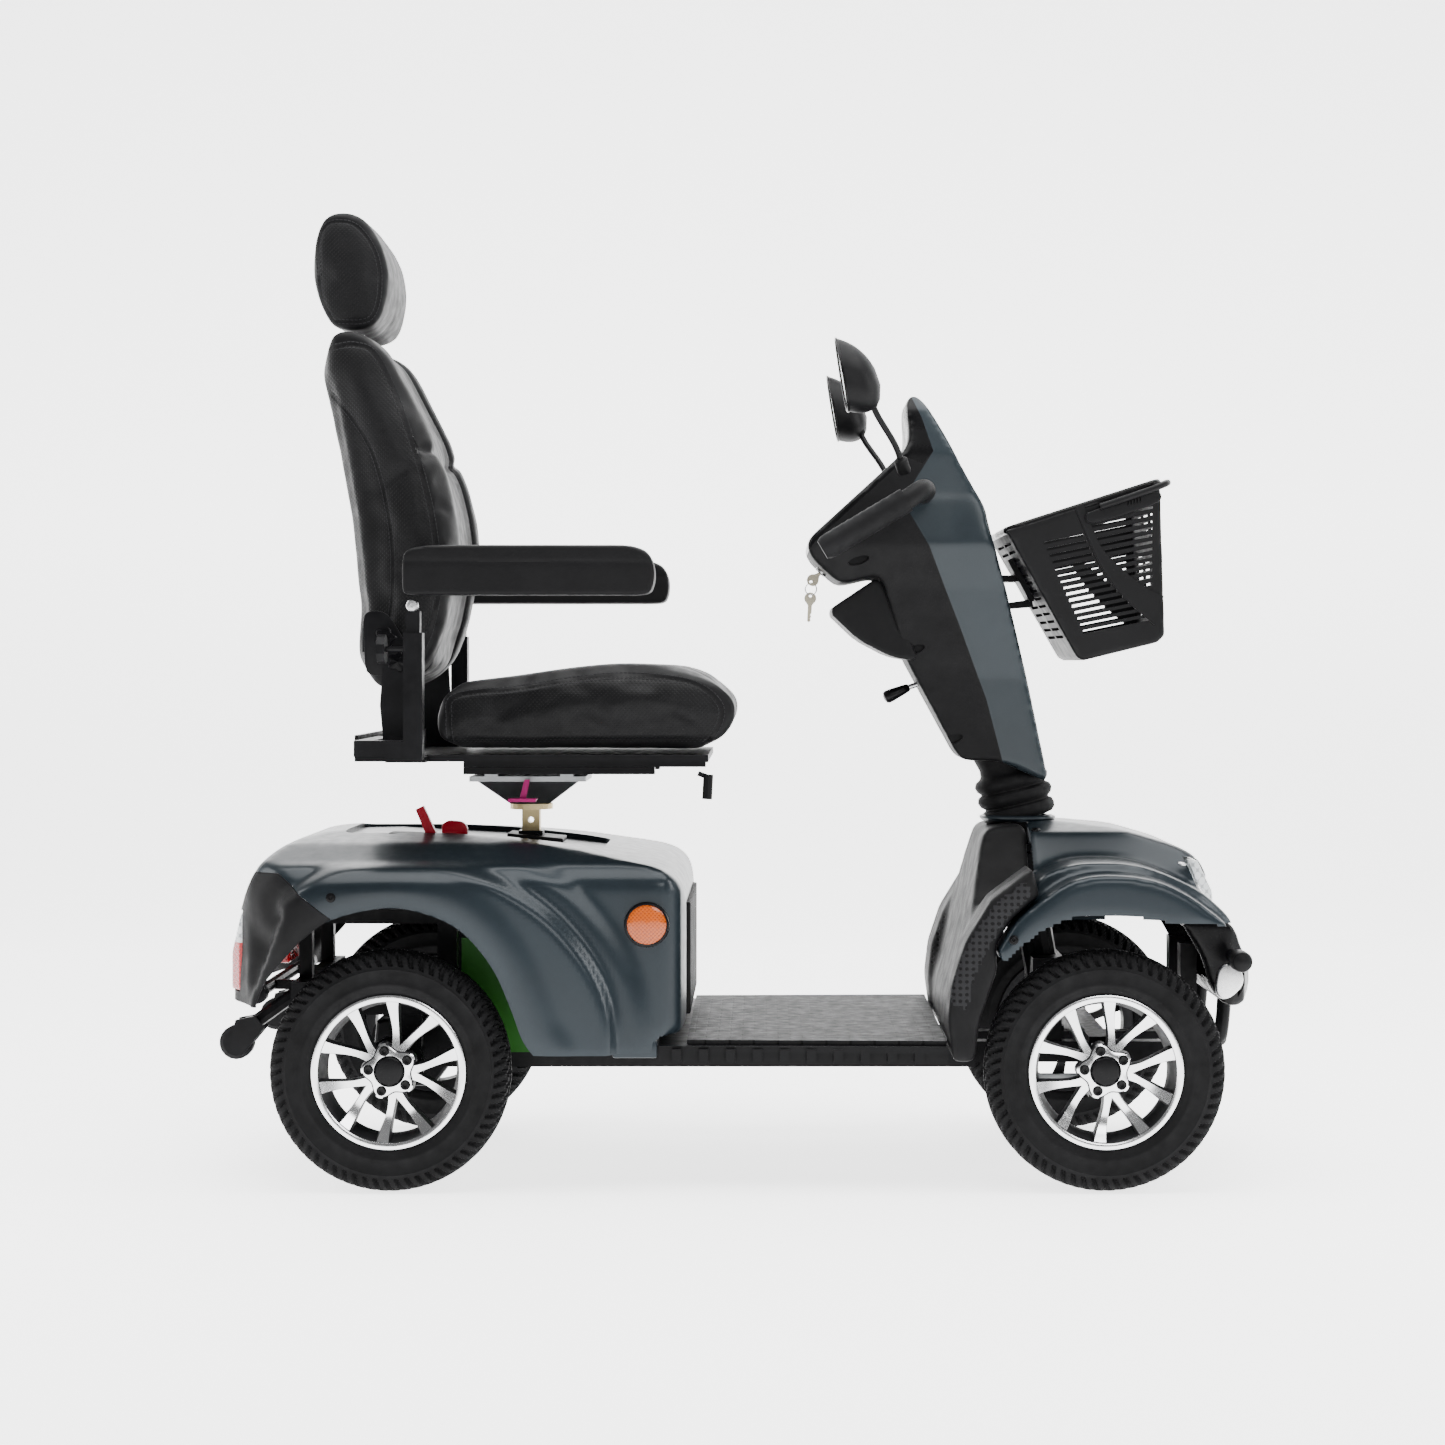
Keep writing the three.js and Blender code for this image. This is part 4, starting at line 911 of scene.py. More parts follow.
def add_rear_details(surface):
    post = frame_plate(150, 238, -44, 44, 508, 500, (166, 204, -19, 19), 7)
    post.name = "post_escutcheon"
    lever = frame_plate(-26, 96, -122, -64, 515, 509, (14, 82, -112, -92), 6)
    lever.name = "lever_escutcheon"
    for plate in (post, lever):
        dress(plate, "chassis", "black_plastic")
    latch = prism([(52, 516), (92, 514), (92, 528), (84, 536), (62, 538), (52, 532)], -88, -68,
                  "red_latch")
    dress(bevelled(latch, 4), "chassis", "red_plastic")
    for side, name in ((-1, "right"), (1, "left")):
        add_screw(f"fender_screw_rear_{name}", surface, -81, 439, side)
        sill = prism([(330, 198), (396, 198), (396, 222), (380, 230), (330, 230)],
                     min(side * 286, side * 300), max(side * 286, side * 300), f"sill_{name}")
        dress(bevelled(sill, 3), "chassis", "body_paint")
    slats = []
    for i in range(17):
        y = -184 + 23 * i
        slats.append(bevelled(box_solid(BODY_FRONT_X - 3, BODY_FRONT_X + 6, y - 6, y + 6, 250, 420), 2.5))
    dress(join_objects("front_louvre", slats), "chassis", "black_plastic")


def add_tail_lights():
    side_view = [(-262, 291), (-254, 336), (-231, 410), (-204, 410), (-224, 291)]
    for name, side in (("right", -1), ("left", 1)):
        lamp = prism(side_view, min(side * 139, side * 237), max(side * 139, side * 237),
                     f"tail_lamp_{name}")
        plan = [(-268, -100), (-263, -140), (-250, -212), (-222, -256), (-190, -256), (-190, 256),
                (-222, 256),
                (-250, 212), (-263, 140), (-268, 100)]
        boolean(lamp, plan_prism(plan, 200, 600), "INTERSECT")
        soften(lamp, 2.6, 5)
        lamp.data.materials.append(MATERIALS["red_lens"])
        lamp.data.materials.append(MATERIALS["clear_lens"])
        for polygon in lamp.data.polygons:
            polygon.material_index = 1 if polygon.center.z > 0.362 else 0
        dress(lamp, "chassis", "red_lens", replaces=(f"tail_light_{name}",))


# ---------------------------------------------------------------- front bodywork
SHIELD_OUTLINE = [
    (834, 193), (834, 262), (846, 305), (862, 375), (885, 485), (896, 527), (962, 535), (962, 440),
    (930, 400), (898, 350), (872, 300), (861, 193),
]
SHIELD_WING = [
    (834, 193), (826, 258), (832, 312), (852, 372), (890, 434), (952, 480), (962, 440), (921, 405),
    (898, 368), (900, 330), (888, 296), (874, 255), (866, 193),
]
FRONT_ARCH = [
    (868, 200), (876, 255), (892, 300), (909, 333), (933, 359), (970, 387), (1018, 405), (1080, 406),
    (1123, 399), (1154, 393), (1172, 392),
]
HOOD_OUTLINE = [(962, 380), (962, 537), (1018, 536), (1110, 526), (1191, 502), (1215, 489), (1224, 478),
                (1264, 392)]
OUTER_CREST = [(899, 358), (931, 406), (990, 452), (1031, 468), (1084, 470), (1137, 461), (1190, 435),
               (1246, 391)]
INNER_CREST = [(930, 400), (964, 459), (1000, 478), (1039, 485), (1116, 481), (1194, 450), (1240, 414),
               (1256, 392)]
HEADLIGHT = [(1196, 487), (1219, 484), (1262, 404), (1232, 400)]
BUMPER = [(1190, 391), (1262, 391), (1278, 372), (1285, 345), (1308, 318), (1306, 284), (1284, 256),
          (1254, 262),
          (1233, 294), (1224, 334), (1204, 366)]


def both_sides(outline, y0, y1):
    return join_objects("pair", [prism(outline, y0, y1), prism(outline, -y1, -y0)])


def wheel_room(low=100):
    curve = open_curve(FRONT_ARCH, 5)
    return [(curve[0][0] - 4, low)] + curve + [(1500, 392), (1500, low)]


def perforated():
    f = Finish("perforated_moulding", (0.011, 0.011, 0.012), 0.5)
    holes = f.dots(0.0095, "XZ", 0.34, 0)
    # The holes are painted at a quarter of the moulding's colour and the moulding round them lighter:
    # painted shade in the holes.
    f.vary_colour(f.ramp(holes, 0, 1, 1, 0), 0.25, 1.25)
    f.vary_roughness(f.noise(40, 4), 0.42, 0.56)
    f.bump(f.ramp(holes, 0, 1, 1, 0), 0.0016, 0.9)
    f.bump(f.noise(1500, 2), 0.00008)
    return f.material


def add_leg_shield():
    main = prism(smooth_corners(SHIELD_OUTLINE, 2), -304, 304, "shield")
    flare_view = [(302, 180), (300, 262), (282, 300), (250, 350), (212, 400), (160, 455), (118, 500),
                  (94, 545)]
    boolean(main, front_prism(flare_view, 700, 1100), "INTERSECT")
    wing = both_sides(SHIELD_WING, 205, 318)
    shell = join_objects("leg_shield_moulded", [main, wing])
    soften(shell, 5.5, 9)
    boolean(shell, prism(wheel_room(), -420, 420))
    hollow = [(x + 7, z - 6) for x, z in SHIELD_OUTLINE[:5]] + [(900, 516), (980, 516), (980, 100),
                                                                (841, 100)]
    room = prism(hollow, -288, 288)
    inner_view = [(w - 10, z) for w, z in flare_view]
    boolean(room, front_prism(inner_view, 700, 1100), "INTERSECT")
    boolean(shell, room)
    hole = tube([at(948, 0, 570), at(972, 0, 430)], 0.046, 32)
    boolean(shell, loose("column_hole", *hole))
    shell.data.materials.append(MATERIALS["rough_plastic"])
    shell.data.materials.append(perforated())
    band = [(826, 284), (838, 330), (860, 376), (896, 428), (940, 462), (950, 442), (915, 410),
            (886, 366),
            (864, 318), (854, 272)]
    for polygon in shell.data.polygons:
        x, z = 1000 * (polygon.center.x - REAR_AXLE_X), 1000 * polygon.center.z
        on_band = inside(band, np.array([[x, z]]))[0] and abs(polygon.normal.y) > 0.45
        polygon.material_index = 1 if on_band else 0
    dress(shell, "chassis", "black_plastic", replaces=("leg_shield",))


def add_hood():
    middle = prism(smooth_corners(HOOD_OUTLINE, 3), -186, 186, "hood")
    crown = [(190, 300), (188, 430), (172, 470), (120, 522), (60, 534), (30, 540)]
    boolean(middle, front_prism(crown, 800, 1400), "INTERSECT")
    plan = [(940, -190), (1150, -190), (1214, -176), (1246, -140), (1262, -60), (1264, 60), (1246, 140),
            (1214, 176), (1150, 190), (940, 190)]
    boolean(middle, plan_prism(plan, 200, 700), "INTERSECT")
    arch = FRONT_ARCH[3:]
    low = [(x, z) for x, z in reversed(arch)]
    outer = both_sides(open_curve(OUTER_CREST, 4) + low, 250, 328)
    inner = both_sides(open_curve(INNER_CREST, 4) + low, 150, 276)
    shell = join_objects("front_hood_moulded", [middle, outer, inner])
    soften(shell, 5.5, 12)
    drop_faces(shell, lambda c, n: n.z < -0.35 and c.z < 425
               or c.x < 985 and n.x < -0.75 and abs(c.y) < 185
               or c.z < 384 and abs(n.y) < 0.3 and abs(c.y) < 240)
    thicken(shell, 4)
    boolean(shell, prism([(x, z + 5) for x, z in wheel_room()], -420, 420))
    lamps = both_sides(HEADLIGHT, 58, 186)
    boolean(shell, lamps)
    hole = tube([at(950, 0, 570), at(972, 0, 440)], 0.05, 32)
    boolean(shell, loose("column_hole", *hole))
    dress(shell, "chassis", "body_paint", replaces=("front_hood",))
    skin = surface_of(shell)
    for side, name in ((-1, "right"), (1, "left")):
        add_screw(f"fender_screw_front_{name}", skin, 922, 376, side)
        add_screw(f"hood_screw_{name}", skin, 976, 524, side, "gloss_plastic")
        add_headlight(name, side)
    collar = [(47, 534), (56, 534), (60, 538), (60, 541), (55, 543), (47, 543)]
    ring = loose("column_collar", *lathe_z(collar, 957, 0, 64))
    dress(ring, "chassis", "body_paint")


def add_headlight(name, side):
    y0, y1 = sorted((side * 60, side * 184))
    view = [(1199, 485), (1217, 482), (1259, 407), (1236, 403)]
    lamp = prism(view, y0, y1, f"headlight_lens_{name}")
    plan = [(1100, -190), (1150, -188), (1212, -176), (1244, -140), (1261, -60), (1262, 60), (1244, 140),
            (1212, 176), (1150, 188), (1100, 190)]
    boolean(lamp, plan_prism(plan, 200, 700), "INTERSECT")
    soften(lamp, 2.6, 5)
    dress(lamp, "chassis", "clear_lens", replaces=(f"headlight_{name}",))
    inner = [(1186, 480), (1202, 478), (1240, 408), (1220, 404)]
    bowl = prism(inner, *sorted((side * 66, side * 168)), f"headlight_bowl_{name}")
    dress(bevelled(bowl, 5), "chassis", "clear_lens", "bright_zinc")


def add_bumper():
    skin = prism(smooth_corners(BUMPER, 3), -178, 178, "bumper")
    plan = [(1150, -180), (1262, -180), (1290, -160), (1304, -120), (1318, 0), (1304, 120), (1290, 160),
            (1262, 180), (1150, 180)]
    boolean(skin, plan_prism(plan, 100, 600), "INTERSECT")
    soften(skin, 4.5, 6)
    hollow = prism([(1150, 380), (1254, 380), (1270, 352), (1290, 320), (1292, 290), (1276, 268),
                    (1240, 296),
                    (1180, 300)], -168, 168)
    boolean(skin, hollow)
    skin.data.materials.append(MATERIALS["gloss_plastic"])
    bar = loose("bar", *tube([at(1270, -262, 336), at(1270, 262, 336)], 0.010, 20))
    bar.data.materials.append(MATERIALS["frame_steel"])
    caps = []
    for side in (-1, 1):
        spot = at(1270, side * 226, 336)
        cap = [(0.02, 0), (15, 0), (16, 2), (16, 30), (14.5, 36), (9, 40), (0.02, 41)]
        caps.append(loose("cap", *turned_on(cap, spot, Vector((0, side, 0)), 40)))
        caps[-1].data.materials.append(MATERIALS["black_plastic"])
    loop = [at(1268, -112, 330), at(1267, -112, 262), at(1264, -112, 224), at(1262, -104, 204),
            at(1262, -80, 199), at(1262, 80, 199), at(1262, 104, 204), at(1264, 112, 224),
            at(1267, 112, 262), at(1268, 112, 330)]
    guard = loose("guard", *tube(smooth_path(loop, 6), 0.011, 16))
    guard.data.materials.append(MATERIALS["frame_steel"])
    whole = join_objects("front_bumper_moulded", [skin, bar, guard] + caps)
    dress(whole, "chassis", "black_plastic", replaces=("front_bumper",))
    for side, name in ((-1, "right"), (1, "left")):
        plate = prism(smooth_corners([(1240, 276), (1262, 268), (1290, 296), (1276, 328), (1246, 322)],
                                     2),
                      *sorted((side * 170, side * 183)), f"fog_lamp_{name}")
        dress(bevelled(plate, 4), "chassis", "clear_lens", "bright_zinc")


def ribbed_mat():
    """The deck's rubber mat: staggered raised blocks between lengthwise grooves, with painted shade
    darkening the grooves.
    """
    f = Finish("mat_rubber_blocks", (0.009, 0.009, 0.0095), 0.58)
    brick = f.node("ShaderNodeTexBrick")
    brick.inputs["Scale"].default_value = 1.0
    brick.inputs["Mortar Size"].default_value = 0.0016
    brick.inputs["Mortar Smooth"].default_value = 0.35
    brick.inputs["Brick Width"].default_value = 0.036
    brick.inputs["Row Height"].default_value = 0.021
    f.link(f.coords, brick.inputs["Vector"])
    raised = f.ramp(brick.outputs["Fac"], 0, 1, 1, 0)
    # The grooves are painted at 0.4 of the rubber's colour and the block tops at 1.2: painted shade in
    # the grooves, with the raised tops painted lighter as if lit.
    f.vary_colour(raised, 0.4, 1.2)
    f.vary_roughness(f.noise(60, 4), 0.48, 0.66)
    f.bump(raised, 0.0018)
    f.bump(f.noise(1600, 2), 0.00008)
    return f.material


def add_deck():
    frame["nodes"]["floor_mat"].data.materials.clear()
    frame["nodes"]["floor_mat"].data.materials.append(ribbed_mat())


# ---------------------------------------------------------------- tiller
TILLER = [
    (618, 971), (771, 1111), (780, 1131), (775, 1192), (788, 1205), (806, 1190), (837, 1137), (864, 1082),
    (897, 1022), (899, 1006), (908, 973), (930, 902), (966, 760), (1002, 594), (924, 630), (862, 630),
    (774, 793), (735, 921), (678, 907), (667, 910), (628, 945),
]
TILLER_WIDTHS = [(60, 580), (76, 760), (104, 900), (128, 965), (126, 1040), (112, 1110), (88, 1180),
                 (62, 1215)]
FRONT_PANEL = [
    (786, 1196), (784, 1225), (1100, 1225), (1100, 560), (929, 580), (929, 626), (902, 727), (859, 841),
    (810, 964),
    (768, 1035), (817, 1112), (800, 1165),
]
DASH = [
    (590, 965), (771, 1125), (768, 1225), (784, 1225), (786, 1196), (800, 1165), (817, 1112),
    (800, 1092), (776, 1102),
    (634, 972), (622, 955),
]
BIN = [(734, 919), (653, 865), (700, 820), (751, 793), (796, 785), (780, 830)]
BIN_INSIDE = [(744, 936), (650, 878), (662, 868), (704, 828), (755, 800), (772, 802), (755, 860)]
OVAL_RECESSES = [(701, 942), (789, 804), (850, 664)]
BAR = [(800, 1045), (792, 1044), (768, 1028), (710, 993), (642, 953)]


def tiller_part(solid, name, keep_inside, region, slot, material=None, replaces=()):
    part = copy_of(solid, name)
    boolean(part, prism(region, -400, 400), "INTERSECT" if keep_inside else "DIFFERENCE")
    return dress(part, "tiller", slot, material, replaces) if slot else part


def add_tiller_covers():
    solid = prism(smooth_corners(TILLER, 2), -130, 130)
    boolean(solid, front_prism(TILLER_WIDTHS, 500, 1100), "INTERSECT")
    soften(solid, 4, 9)
    points, facing = coordinates(solid), normals(solid)
    brow = np.exp(-((points[:, 2] - 985) / 55) ** 2) * step(840, 900, points[:, 0]) * np.abs(facing[:, 1])
    set_coordinates(solid, points + facing * (3 * brow)[:, None])
    tiller_part(solid, "tiller_front_moulded", True, FRONT_PANEL, "tiller_paint", None,
                ("tiller_front_cover",))
    tiller_part(solid, "dash_moulded", True, DASH, "black_plastic", "gloss_plastic", ("dash_panel",))
    rear = tiller_part(solid, "tiller_rear_moulded", False, FRONT_PANEL, None)
    bpy.data.objects.remove(solid)
    boolean(rear, prism(DASH, -400, 400))
    for x, z in OVAL_RECESSES:
        for side in (-1, 1):
            spot, facing = spot_on_side(surface_of(rear), x, z, side)
            ring = [spot + (17 * math.cos(a) * Vector((0.94, 0, 0.34)) + 7 * math.sin(a)
                            * Vector((-0.34, 0, 0.94))) / 1000
                    for a in (2 * math.pi * k / 32 for k in range(32))]
            verts = [p + facing * d for d in (-0.006, 0.02) for p in ring]
            faces = strip_faces(2, 32, False, True) + [tuple(range(32)), tuple(range(63, 31, -1))]
            boolean(rear, loose("recess", verts, faces))
    dress(rear, "tiller", "black_plastic", "rough_plastic", ("tiller_rear_cover",))
    cup = prism(smooth_corners(BIN, 1), -88, 88, "tiller_bin")
    soften(cup, 3, 5)
    boolean(cup, prism(BIN_INSIDE, -83, 83))
    dress(cup, "tiller", "black_plastic")


def add_boot():
    """Three fat rubber rings round the tilt hinge, and the cone that leads up into the tiller."""
    rows = [(-22, 44), (-20, 52), (-15, 57), (-8, 58), (-1, 56), (2, 51), (4, 51), (9, 57), (16, 60),
            (23, 58), (27, 52),
            (29, 52), (34, 57), (41, 59), (48, 56), (52, 49), (56, 46), (66, 45), (84, 50), (108, 60),
            (112, 57), (84, 46),
            (56, 42), (20, 44), (-18, 42)]
    lean = math.radians(14)
    up, across = Vector((-math.sin(lean), 0, math.cos(lean))), Vector((math.cos(lean), 0, math.sin(lean)))
    foot = at(957, 0, 558)
    sides = 72
    verts = [foot + (h * up + r * math.cos(a) * across + 0.94 * r * math.sin(a)
                     * Vector((0, 1, 0))) / 1000
             for h, r in rows for a in (2 * math.pi * k / sides for k in range(sides))]
    boot = loose("boot_rubber", verts, strip_faces(len(rows), sides, True, True))
    boot.data.materials.append(MATERIALS["tyre_rubber"])
    smooth_by_angle(boot)
    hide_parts("bellows_boot")
    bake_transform(boot)


def add_handlebar():
    path = [(x, y, z) for (x, z), y in zip(BAR, (-190, -232, -250, -252, -252))]
    right = smooth_path([at(800, -60, 1045)] + [at(*p) for p in path], 8)
    for side, tag in ((-1, "right"), (1, "left")):
        run = [Vector((p.x, abs(p.y) * side, p.z)) for p in right]
        bar = loose(f"handlebar_{tag}", *tube(run, 0.0155, 28))
        dress(bar, "tiller", "mat_rubber", "rough_plastic", replaces=("handlebar",) if side < 0 else ())
        a, b = run[-1], run[-17]
        grip = [a.lerp(b, t) for t in [k / 24 for k in range(25)]]
        swell = lambda t: 0.0188 + (0.0006 if int(t * 24) % 2 else 0) - 0.004 * max(0, 0.06 - t) / 0.06
        sleeve = loose(f"grip_{tag}", *tube(grip, swell, 28))
        dress(sleeve, "tiller", "mat_rubber", "mat_rubber")


def add_tilt_lever():
    joint, foot = at(838, 0, 762), at(785, 0, 745)
    arm = loose("tilt_lever_arm", *tube([joint, foot], 0.0042, 16))
    dress(arm, "tilt_lever", "black_plastic", "bright_zinc", replaces=("tilt_lever",))
    ends = [foot.lerp(at(745, 0, 727), t) for t in (0, 0.04, 0.2, 0.45, 0.7, 0.86, 0.95, 1.0)]
    rings = (0.0045, 0.0062, 0.0075, 0.0088, 0.0102, 0.0104, 0.0086, 0.003)
    knob = tube(ends, lambda t: rings[round(t * (len(ends) - 1))], 28)
    dress(loose("tilt_lever_knob", *knob), "tilt_lever", "black_plastic", "gloss_plastic")


def key_shape(bow, tip, width, name):
    """A flat key: a round bow with a hole, and a notched blade."""
    along = Vector((tip[0] - bow[0], tip[1] - bow[1])).normalized()
    across = Vector((-along.y, along.x))
    length = math.hypot(tip[0] - bow[0], tip[1] - bow[1])
    half = width / 2
    outline = [(half * math.cos(a), half * math.sin(a))
               for a in (math.radians(d) for d in range(35, 326, 15))]
    outline += [(half + 2, -3.2), (length - 2, -3.2), (length, 0), (length - 3, 2.4), (length - 6, 1.2),
                (length - 9, 3),
                (length - 12, 1.4), (length - 15, 3.2), (half + 2, 3.2)]
    flat = [(bow[0] + u * along.x + v * across.x, bow[1] + u * along.y + v * across.y) for u,
            v in outline]
    blank = prism(flat, -1.1, 1.1, name)
    hole = [(bow[0] - 0.45 * half * along.x + 2.6 * math.cos(a), bow[1] - 0.45 * half * along.y + 2.6
             * math.sin(a))
            for a in (2 * math.pi * k / 16 for k in range(16))]
    return boolean(blank, prism(hole, -5, 5))


def add_keys():
    barrel = [(0.02, -4), (10.4, -4), (10.4, 6), (9, 7.5), (4, 7.5), (3.6, 5), (0.02, 5)]
    facing = Vector((-0.7, 0, -0.7))
    dress(loose("key_barrel", *turned_on(barrel, at(648, 0, 931), facing, 36)), "tiller",
          "black_plastic", "bright_zinc")
    blade = key_shape((632, 915), (652, 935), 19, "key_in_lock")
    dress(blade, "key", "key_steel", replaces=("key",))
    dress(key_shape((628, 886), (626, 848), 19, "key_spare"), "key", "key_steel")
    ring = [at(629 + 9 * math.sin(a), 2.5 * math.cos(a), 901 + 9.5 * math.cos(a)) for a in
            (2 * math.pi * k / 40 for k in range(40))]
    dress(loose("key_ring", *tube(ring, 0.0009, 8, True)), "key", "key_steel", "bright_zinc")


def add_mirror(tag, side):
    body = f"mirror_{tag}"
    clamp, elbow = at(764, side * 212, 1082), at(716, side * 258, 1172)
    stalk = smooth_path([clamp, at(752, side * 228, 1112), at(726, side * 250, 1152), elbow], 6)
    dress(loose(f"mirror_stalk_{tag}", *tube(stalk, 0.0048, 16)), body, "black_plastic", "gloss_plastic",
          replaces=(body,))
    ball = [(0.02, -9), (5, -8.2), (8.4, -4), (9.2, 0), (8.4, 4), (5, 8.2), (0.02, 9)]
    dress(loose(f"mirror_ball_{tag}", *turned_on(ball, elbow, Vector((0, 0, 1)), 24)), body,
          "black_plastic")
    collar = [(0.02, -12), (9.5, -12), (10.5, -9), (10.5, 10), (7, 13), (0.02, 13)]
    dress(loose(f"mirror_clamp_{tag}", *turned_on(collar, clamp, stalk[3] - clamp, 24)), body,
          "black_plastic")
    centre = at(672, side * 274, 1213)
    out = Vector((-0.985, 0, -0.17))
    high = Vector((-0.17, 0, 0.985))
    wide = Vector((0, 1, 0))
    rows = []
    for step_back in range(0, 13):
        u = step_back / 12
        scale = math.sqrt(max(0.0, 1 - u ** 2.3)) * (1.0 if step_back < 12 else 0.05)
        ring = []
        for k in range(56):
            a = 2 * math.pi * k / 56
            taper = 1 - 0.18 * math.sin(a)
            ring.append(centre - out * (0.053 * u) - high * (0.024 * u)
                        + 0.055 * scale * math.sin(a) * high + 0.047 * scale * taper * math.cos(a) * wide)
        rows.append(ring)
    verts = [p for ring in rows for p in ring]
    faces = strip_faces(13, 56, False, True) + [tuple(range(55, -1, -1)), tuple(range(12 * 56, 13 * 56))]
    dress(loose(f"mirror_housing_{tag}", verts, faces), body, "black_plastic")
    edge = [p + out * 0.0012 for p in rows[0]]
    inner = [centre + (p - centre) * 0.93 + out * 0.0012 for p in rows[0]]
    glass = loose(f"mirror_glass_{tag}", [p + out * 0.0001 for p in inner]
                  + [p - out * 0.002 for p in inner],
                  strip_faces(2, 56, False, True) + [tuple(range(56)), tuple(range(111, 55, -1))])
    dress(glass, body, "black_plastic", "mirror_glass", smooth=False)
    dress(loose(f"mirror_rim_{tag}", *tube(edge, 0.0019, 8, True)), body, "black_plastic",
          "gloss_plastic")


def add_tiller():
    add_tiller_covers()
    add_boot()
    add_handlebar()
    add_tilt_lever()
    add_keys()
    add_mirror("right", -1)
    add_mirror("left", 1)


# ---------------------------------------------------------------- padded seat
CUSHION = [
    (64, 650), (60, 700), (72, 748), (180, 762), (262, 776), (327, 783), (420, 779), (480, 760),
    (511, 724),
    (508, 690), (488, 655), (470, 649),
]
BACK = [
    (-39, 747), (0, 758), (40, 785), (68, 860), (87, 967), (80, 1020), (66, 1073), (38, 1140), (12, 1186),
    (-29, 1260), (-62, 1287), (-104, 1288), (-121, 1272), (-123, 1232), (-113, 1198), (-92, 1100),
    (-74, 1010),
    (-61, 877), (-63, 785),
]
HEAD = [
    (-118, 1299), (-66, 1297), (-38, 1312), (-26, 1360), (-31, 1420), (-64, 1470), (-100, 1481),
    (-132, 1472),
    (-148, 1430), (-143, 1350),
]
CUSHION_SEAM = [(80, 662), (79, 700), (88, 733), (180, 744), (262, 757), (330, 764), (414, 760),
                (462, 746), (489, 719),
                (487, 692), (470, 664)]
BACK_SEAM = [(-104, 1262), (-64, 1266), (-32, 1246), (9, 1150), (41, 1050), (58, 954), (56, 873),
             (36, 806), (8, 776)]
BACK_REAR_SEAM = [(-106, 1194), (-77, 1163), (-41, 1108), (-18, 1027), (-8, 954), (-9, 882), (-18, 827),
                  (-41, 796)]
HEAD_SEAM = [(-112, 1313), (-72, 1311), (-50, 1322), (-40, 1361), (-45, 1414), (-72, 1456), (-101, 1466),
             (-124, 1459),
             (-135, 1427), (-131, 1354), (-112, 1313)]
PAD_LIMITS = {"seat_cushion": 13, "backrest_cushion": 12, "headrest": 7}
HALF_WIDTHS = {"seat_cushion": 235, "backrest_cushion": 215, "headrest": 128}
PANEL_EDGE = 118
ARMREST = [(22, 886), (22, 950), (60, 957), (360, 957), (388, 946), (397, 918), (392, 888), (380, 882),
           (30, 882)]


def shrunk(outline, amount):
    """A closed outline with every side moved inwards."""
    turns = sum(ax * bz - bx * az for (ax, az), (bx, bz) in zip(outline, outline[1:] + outline[:1]))
    inward = amount if turns > 0 else -amount
    moved = []
    for (ax, az), (bx, bz), (cx, cz) in zip(outline[-1:] + outline[:-1], outline, outline[1:]
                                            + outline[:1]):
        one = Vector((bx - ax, bz - az)).normalized()
        two = Vector((cx - bx, cz - bz)).normalized()
        middle = Vector((-one.y - two.y, one.x + two.x))
        reach = 2 * inward / max(middle.length_squared, 1.2)
        moved.append((bx + reach * middle.x, bz + reach * middle.y))
    return moved


def swell(obj, limit):
    """Cloth pressure with gravity off; no point moves further than the limit, in millimetres."""
    scene = bpy.context.scene
    before = coordinates(obj)
    cloth = obj.modifiers.new("cloth", "CLOTH")
    cloth.settings.use_pressure = True
    cloth.settings.uniform_pressure_force = 4
    cloth.settings.effector_weights.gravity = 0
    cloth.point_cache.frame_start = 1
    cloth.point_cache.frame_end = 20
    for moment in range(1, 21):
        scene.frame_set(moment)
    apply_modifiers(obj)
    moved = coordinates(obj) - before
    far = np.linalg.norm(moved, axis=1, keepdims=True)
    set_coordinates(obj, before + moved * np.minimum(1, limit / np.maximum(far, 1e-6)))
    scene.frame_set(1)
    smooth_only(obj, 10)


def fit_to(obj, low, high):
    """Brings a form to its drawn size."""
    points = coordinates(obj)
    least, most = points.min(axis=0), points.max(axis=0)
    set_coordinates(obj, low + (points - least) * (high - low) / (most - least))


def stuffed(name, node, outline, start, voxel, rounds):
    """A pad that starts smaller than its drawn size and is swelled to it."""
    half_width = HALF_WIDTHS[node]
    round_outline = smooth_corners(outline, 2)
    form = prism(shrunk(round_outline, start), start - half_width, half_width - start)
    form.name = name
    soften(form, voxel, rounds)
    swell(form, PAD_LIMITS[node])
    finer = form.modifiers.new("finer", "SUBSURF")
    finer.levels = finer.render_levels = 1
    apply_modifiers(form)
    drawn = np.array(outline)
    fit_to(form, np.array([drawn[:, 0].min(), -half_width, drawn[:, 1].min()]),
           np.array([drawn[:, 0].max(), half_width, drawn[:, 1].max()]))
    return form


def crease(obj, distance, where, depth, width):
    """Draws a sewn line into a pad: a narrow valley that pulls the cover down beside it."""
    points, facing = coordinates(obj), normals(obj)
    amount = depth * (0.6 * np.exp(-(distance / width) ** 2) + 0.4
                      * np.exp(-(distance / (3.2 * width)) ** 2))
    set_coordinates(obj, points - facing * (amount * where)[:, None])


def paced(path, pitch):
    """Points at even steps along an open line."""
    points = [Vector(p) for p in path]
    spots, left = [points[0]], pitch
    for a, b in zip(points, points[1:]):
        length, gone = (b - a).length, 0.0
        while length - gone >= left:
            gone += left
            spots.append(a.lerp(b, gone / length))
            left = pitch
        left -= length - gone
    return spots


